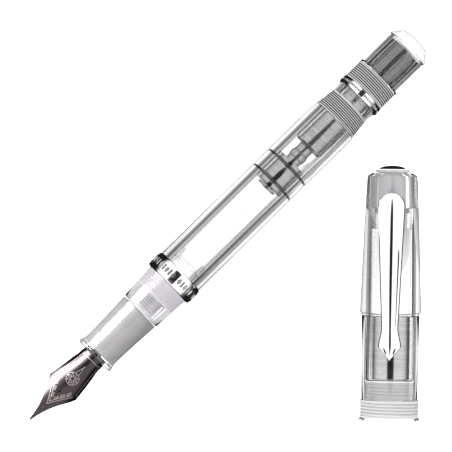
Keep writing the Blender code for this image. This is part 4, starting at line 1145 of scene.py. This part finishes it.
def softbox():
    """A large soft box to the upper left, whose reflection runs along the nib and the grip."""
    data = bpy.data.lights.new("softbox", "AREA")
    data.shape = "RECTANGLE"
    data.size = 0.9
    data.size_y = 0.8
    data.energy = 36.0
    obj = added("softbox", data)
    across = Vector((-0.7, 0.71, 0)).normalized()
    lift = math.radians(22)
    target = Vector((-0.03, -0.03, 0))
    away = 0.7
    at = target + away * (across * math.cos(lift) + Vector((0, 0, math.sin(lift))))
    obj.location = at
    obj.rotation_euler = (target - at).to_track_quat("-Z", "Y").to_euler()
    obj.visible_diffuse = False
    obj.visible_transmission = False
    lit = bpy.data.collections.new("softbox_lit")
    for name in ("nib_plate", "nib_engraving", "nib_tipping", "feed_comb", "grip_resin", "collar_resin",
                 "collar_threads"):
        lit.objects.link(bpy.data.objects[name])
    obj.light_linking.receiver_collection = lit


def painted_shadow_glow(name, stops, reach):
    """Glow with painted shadow and light: emission graded by the distance from the card's own Y axis; stops
    are (share, glow).
    """
    made, nodes, links, shader = blank_material(name, Base_Color=(0, 0, 0, 1), Specular_IOR_Level=0.0,
                                                Emission_Strength=1.0)
    coordinates = nodes.new("ShaderNodeTexCoord")
    split = nodes.new("ShaderNodeSeparateXYZ")
    share = nodes.new("ShaderNodeMapRange")
    share.inputs["From Max"].default_value = reach
    links.new(coordinates.outputs["Object"], split.inputs["Vector"])
    links.new(split.outputs["X"], share.inputs["Value"])
    graded(nodes, links, share.outputs["Result"], greys(stops), shader.inputs["Emission Color"])
    return made


def card(name, line, start, end, side, stops):
    """A graded card on the table beside a clear tube, seen only through the tube's walls, glowing with the
    tube's painted shadow and light on the table.

    stops are (distance from the tube's axis in millimetres, glow).
    """
    reach = stops[-1][0] * MM
    shares = [(distance * MM / reach, glow) for distance, glow in stops]
    made = sheet(name, (0, start), (reach, end), painted_shadow_glow(name, shares, reach))
    tip = line.matrix.translation
    along = line.matrix.to_3x3() @ Vector((0, 0, 1))
    along.z = 0
    along.normalize()
    across = side * Vector((-along.y, along.x, 0))
    turn = Matrix((across, along, Vector((0, 0, 1)))).transposed().to_4x4()
    made.matrix_world = Matrix.Translation((tip.x, tip.y, 0.05 * MM)) @ turn
    made.visible_camera = False
    made.visible_diffuse = False
    made.visible_glossy = False
    made.visible_shadow = False


def dark_ground():
    """A black sheet that only mirror-like faces see, put over the lit table as painted shade in reflections,
    so that metal edges stay dark and crisp.
    """
    half = 2.5
    obj = sheet("dark_ground", (-half, -half), (half, half), matt("dark_ground", 0.01))
    obj.location.z = 0.02 * MM
    obj.visible_camera = False
    obj.visible_diffuse = False
    obj.visible_transmission = False
    obj.visible_shadow = False


def card_pair(section, line, start, end, left, right):
    """The cards on both sides of a stretch, as the main view shows left and right."""
    side = 1 if line is PEN else -1
    card("card_%s_left" % section, line, start, end, side, left)
    card("card_%s_right" % section, line, start, end, -side, right)


def cards():
    """Each clear stretch has its own pair, graded with painted shadow and light to draw its walls."""
    # The glow values below are painted light and shadow: bright under the tube, dark bands where its shadow
    # would fall beside it.
    barrel_start = PEN.span("barrel")[0]
    pen_end = PEN.span("tail_finial")[1] + 2 * MM
    card_pair("barrel", PEN, barrel_start, pen_end,
              ((0.0, 1.2), (5.8, 1.2), (6.6, 0.48), (8.0, 0.34), (10.0, 0.18), (11.6, 0.10), (12.8, 0.16),
               (14.4, 0.42), (16.8, 0.55), (24.0, 0.48), (34.0, 0.5), (40.0, 0.9)),
              ((0.0, 1.2), (5.9, 1.2), (6.8, 0.50), (7.8, 0.36), (10.0, 0.34), (12.8, 0.30), (15.2, 0.20),
               (18.0, 0.08), (22.0, 0.06), (26.0, 0.08), (32.0, 0.4), (40.0, 0.9)))
    pale = ((0.0, 1.1), (3.0, 1.0), (6.0, 0.80), (14.0, 0.65), (24.0, 0.9))
    card_pair("grip", PEN, NIB_REACH, barrel_start, pale, pale)
    top = CAP.span("cap_shell")[0]
    waist = CAP.span("inner_cap")[0]
    joint = CAP.span("cap_ring")[0]
    cap_end = CAP.span("cap_mouth")[1]
    card_pair("top", CAP, top, waist,
              ((0.0, 1.2), (0.8, 1.2), (1.3, 0.40), (20.0, 0.40), (23.0, 1.2)),
              ((0.0, 1.2), (2.2, 1.2), (2.8, 0.40), (24.0, 0.40), (28.0, 1.2)))
    card_pair("upper", CAP, waist, joint,
              ((0.0, 1.2), (8.2, 1.2), (9.2, 0.45), (12.6, 0.33), (15.2, 0.13), (19.0, 0.08), (24.0, 0.4)),
              ((0.0, 1.2), (11.0, 1.2), (12.0, 0.45), (16.7, 0.33), (21.0, 0.10), (30.0, 0.10), (34.0, 0.5)))
    card_pair("lower", CAP, joint, cap_end,
              ((0.0, 1.2), (10.5, 1.2), (12.0, 0.4), (13.0, 0.12), (16.0, 0.12), (20.0, 0.6)),
              ((0.0, 1.2), (13.0, 1.2), (16.0, 0.6), (18.0, 0.15), (22.0, 0.12), (28.0, 0.6)))


bpy.context.scene.view_settings.view_transform = "Standard"
cycles = bpy.context.scene.cycles
cycles.max_bounces = 24
cycles.transmission_bounces = 24
cycles.glossy_bounces = 8

camera()
world()
floor()
cards()
dark_ground()
nib()
engraving()
tipping()
feed()
grip()
core()
gasket()
collar()
band("front_band", "barrel_band", 0.75 * MM, "pen", 20)
barrel()
piston()
rod()
housing()
knob()
carried_over()
housing_collar()
band("rear_band", "tail_band", 0.35 * MM, "pen", 36)
tail()
cap_walls()
cap_insides()
clip()
softbox()
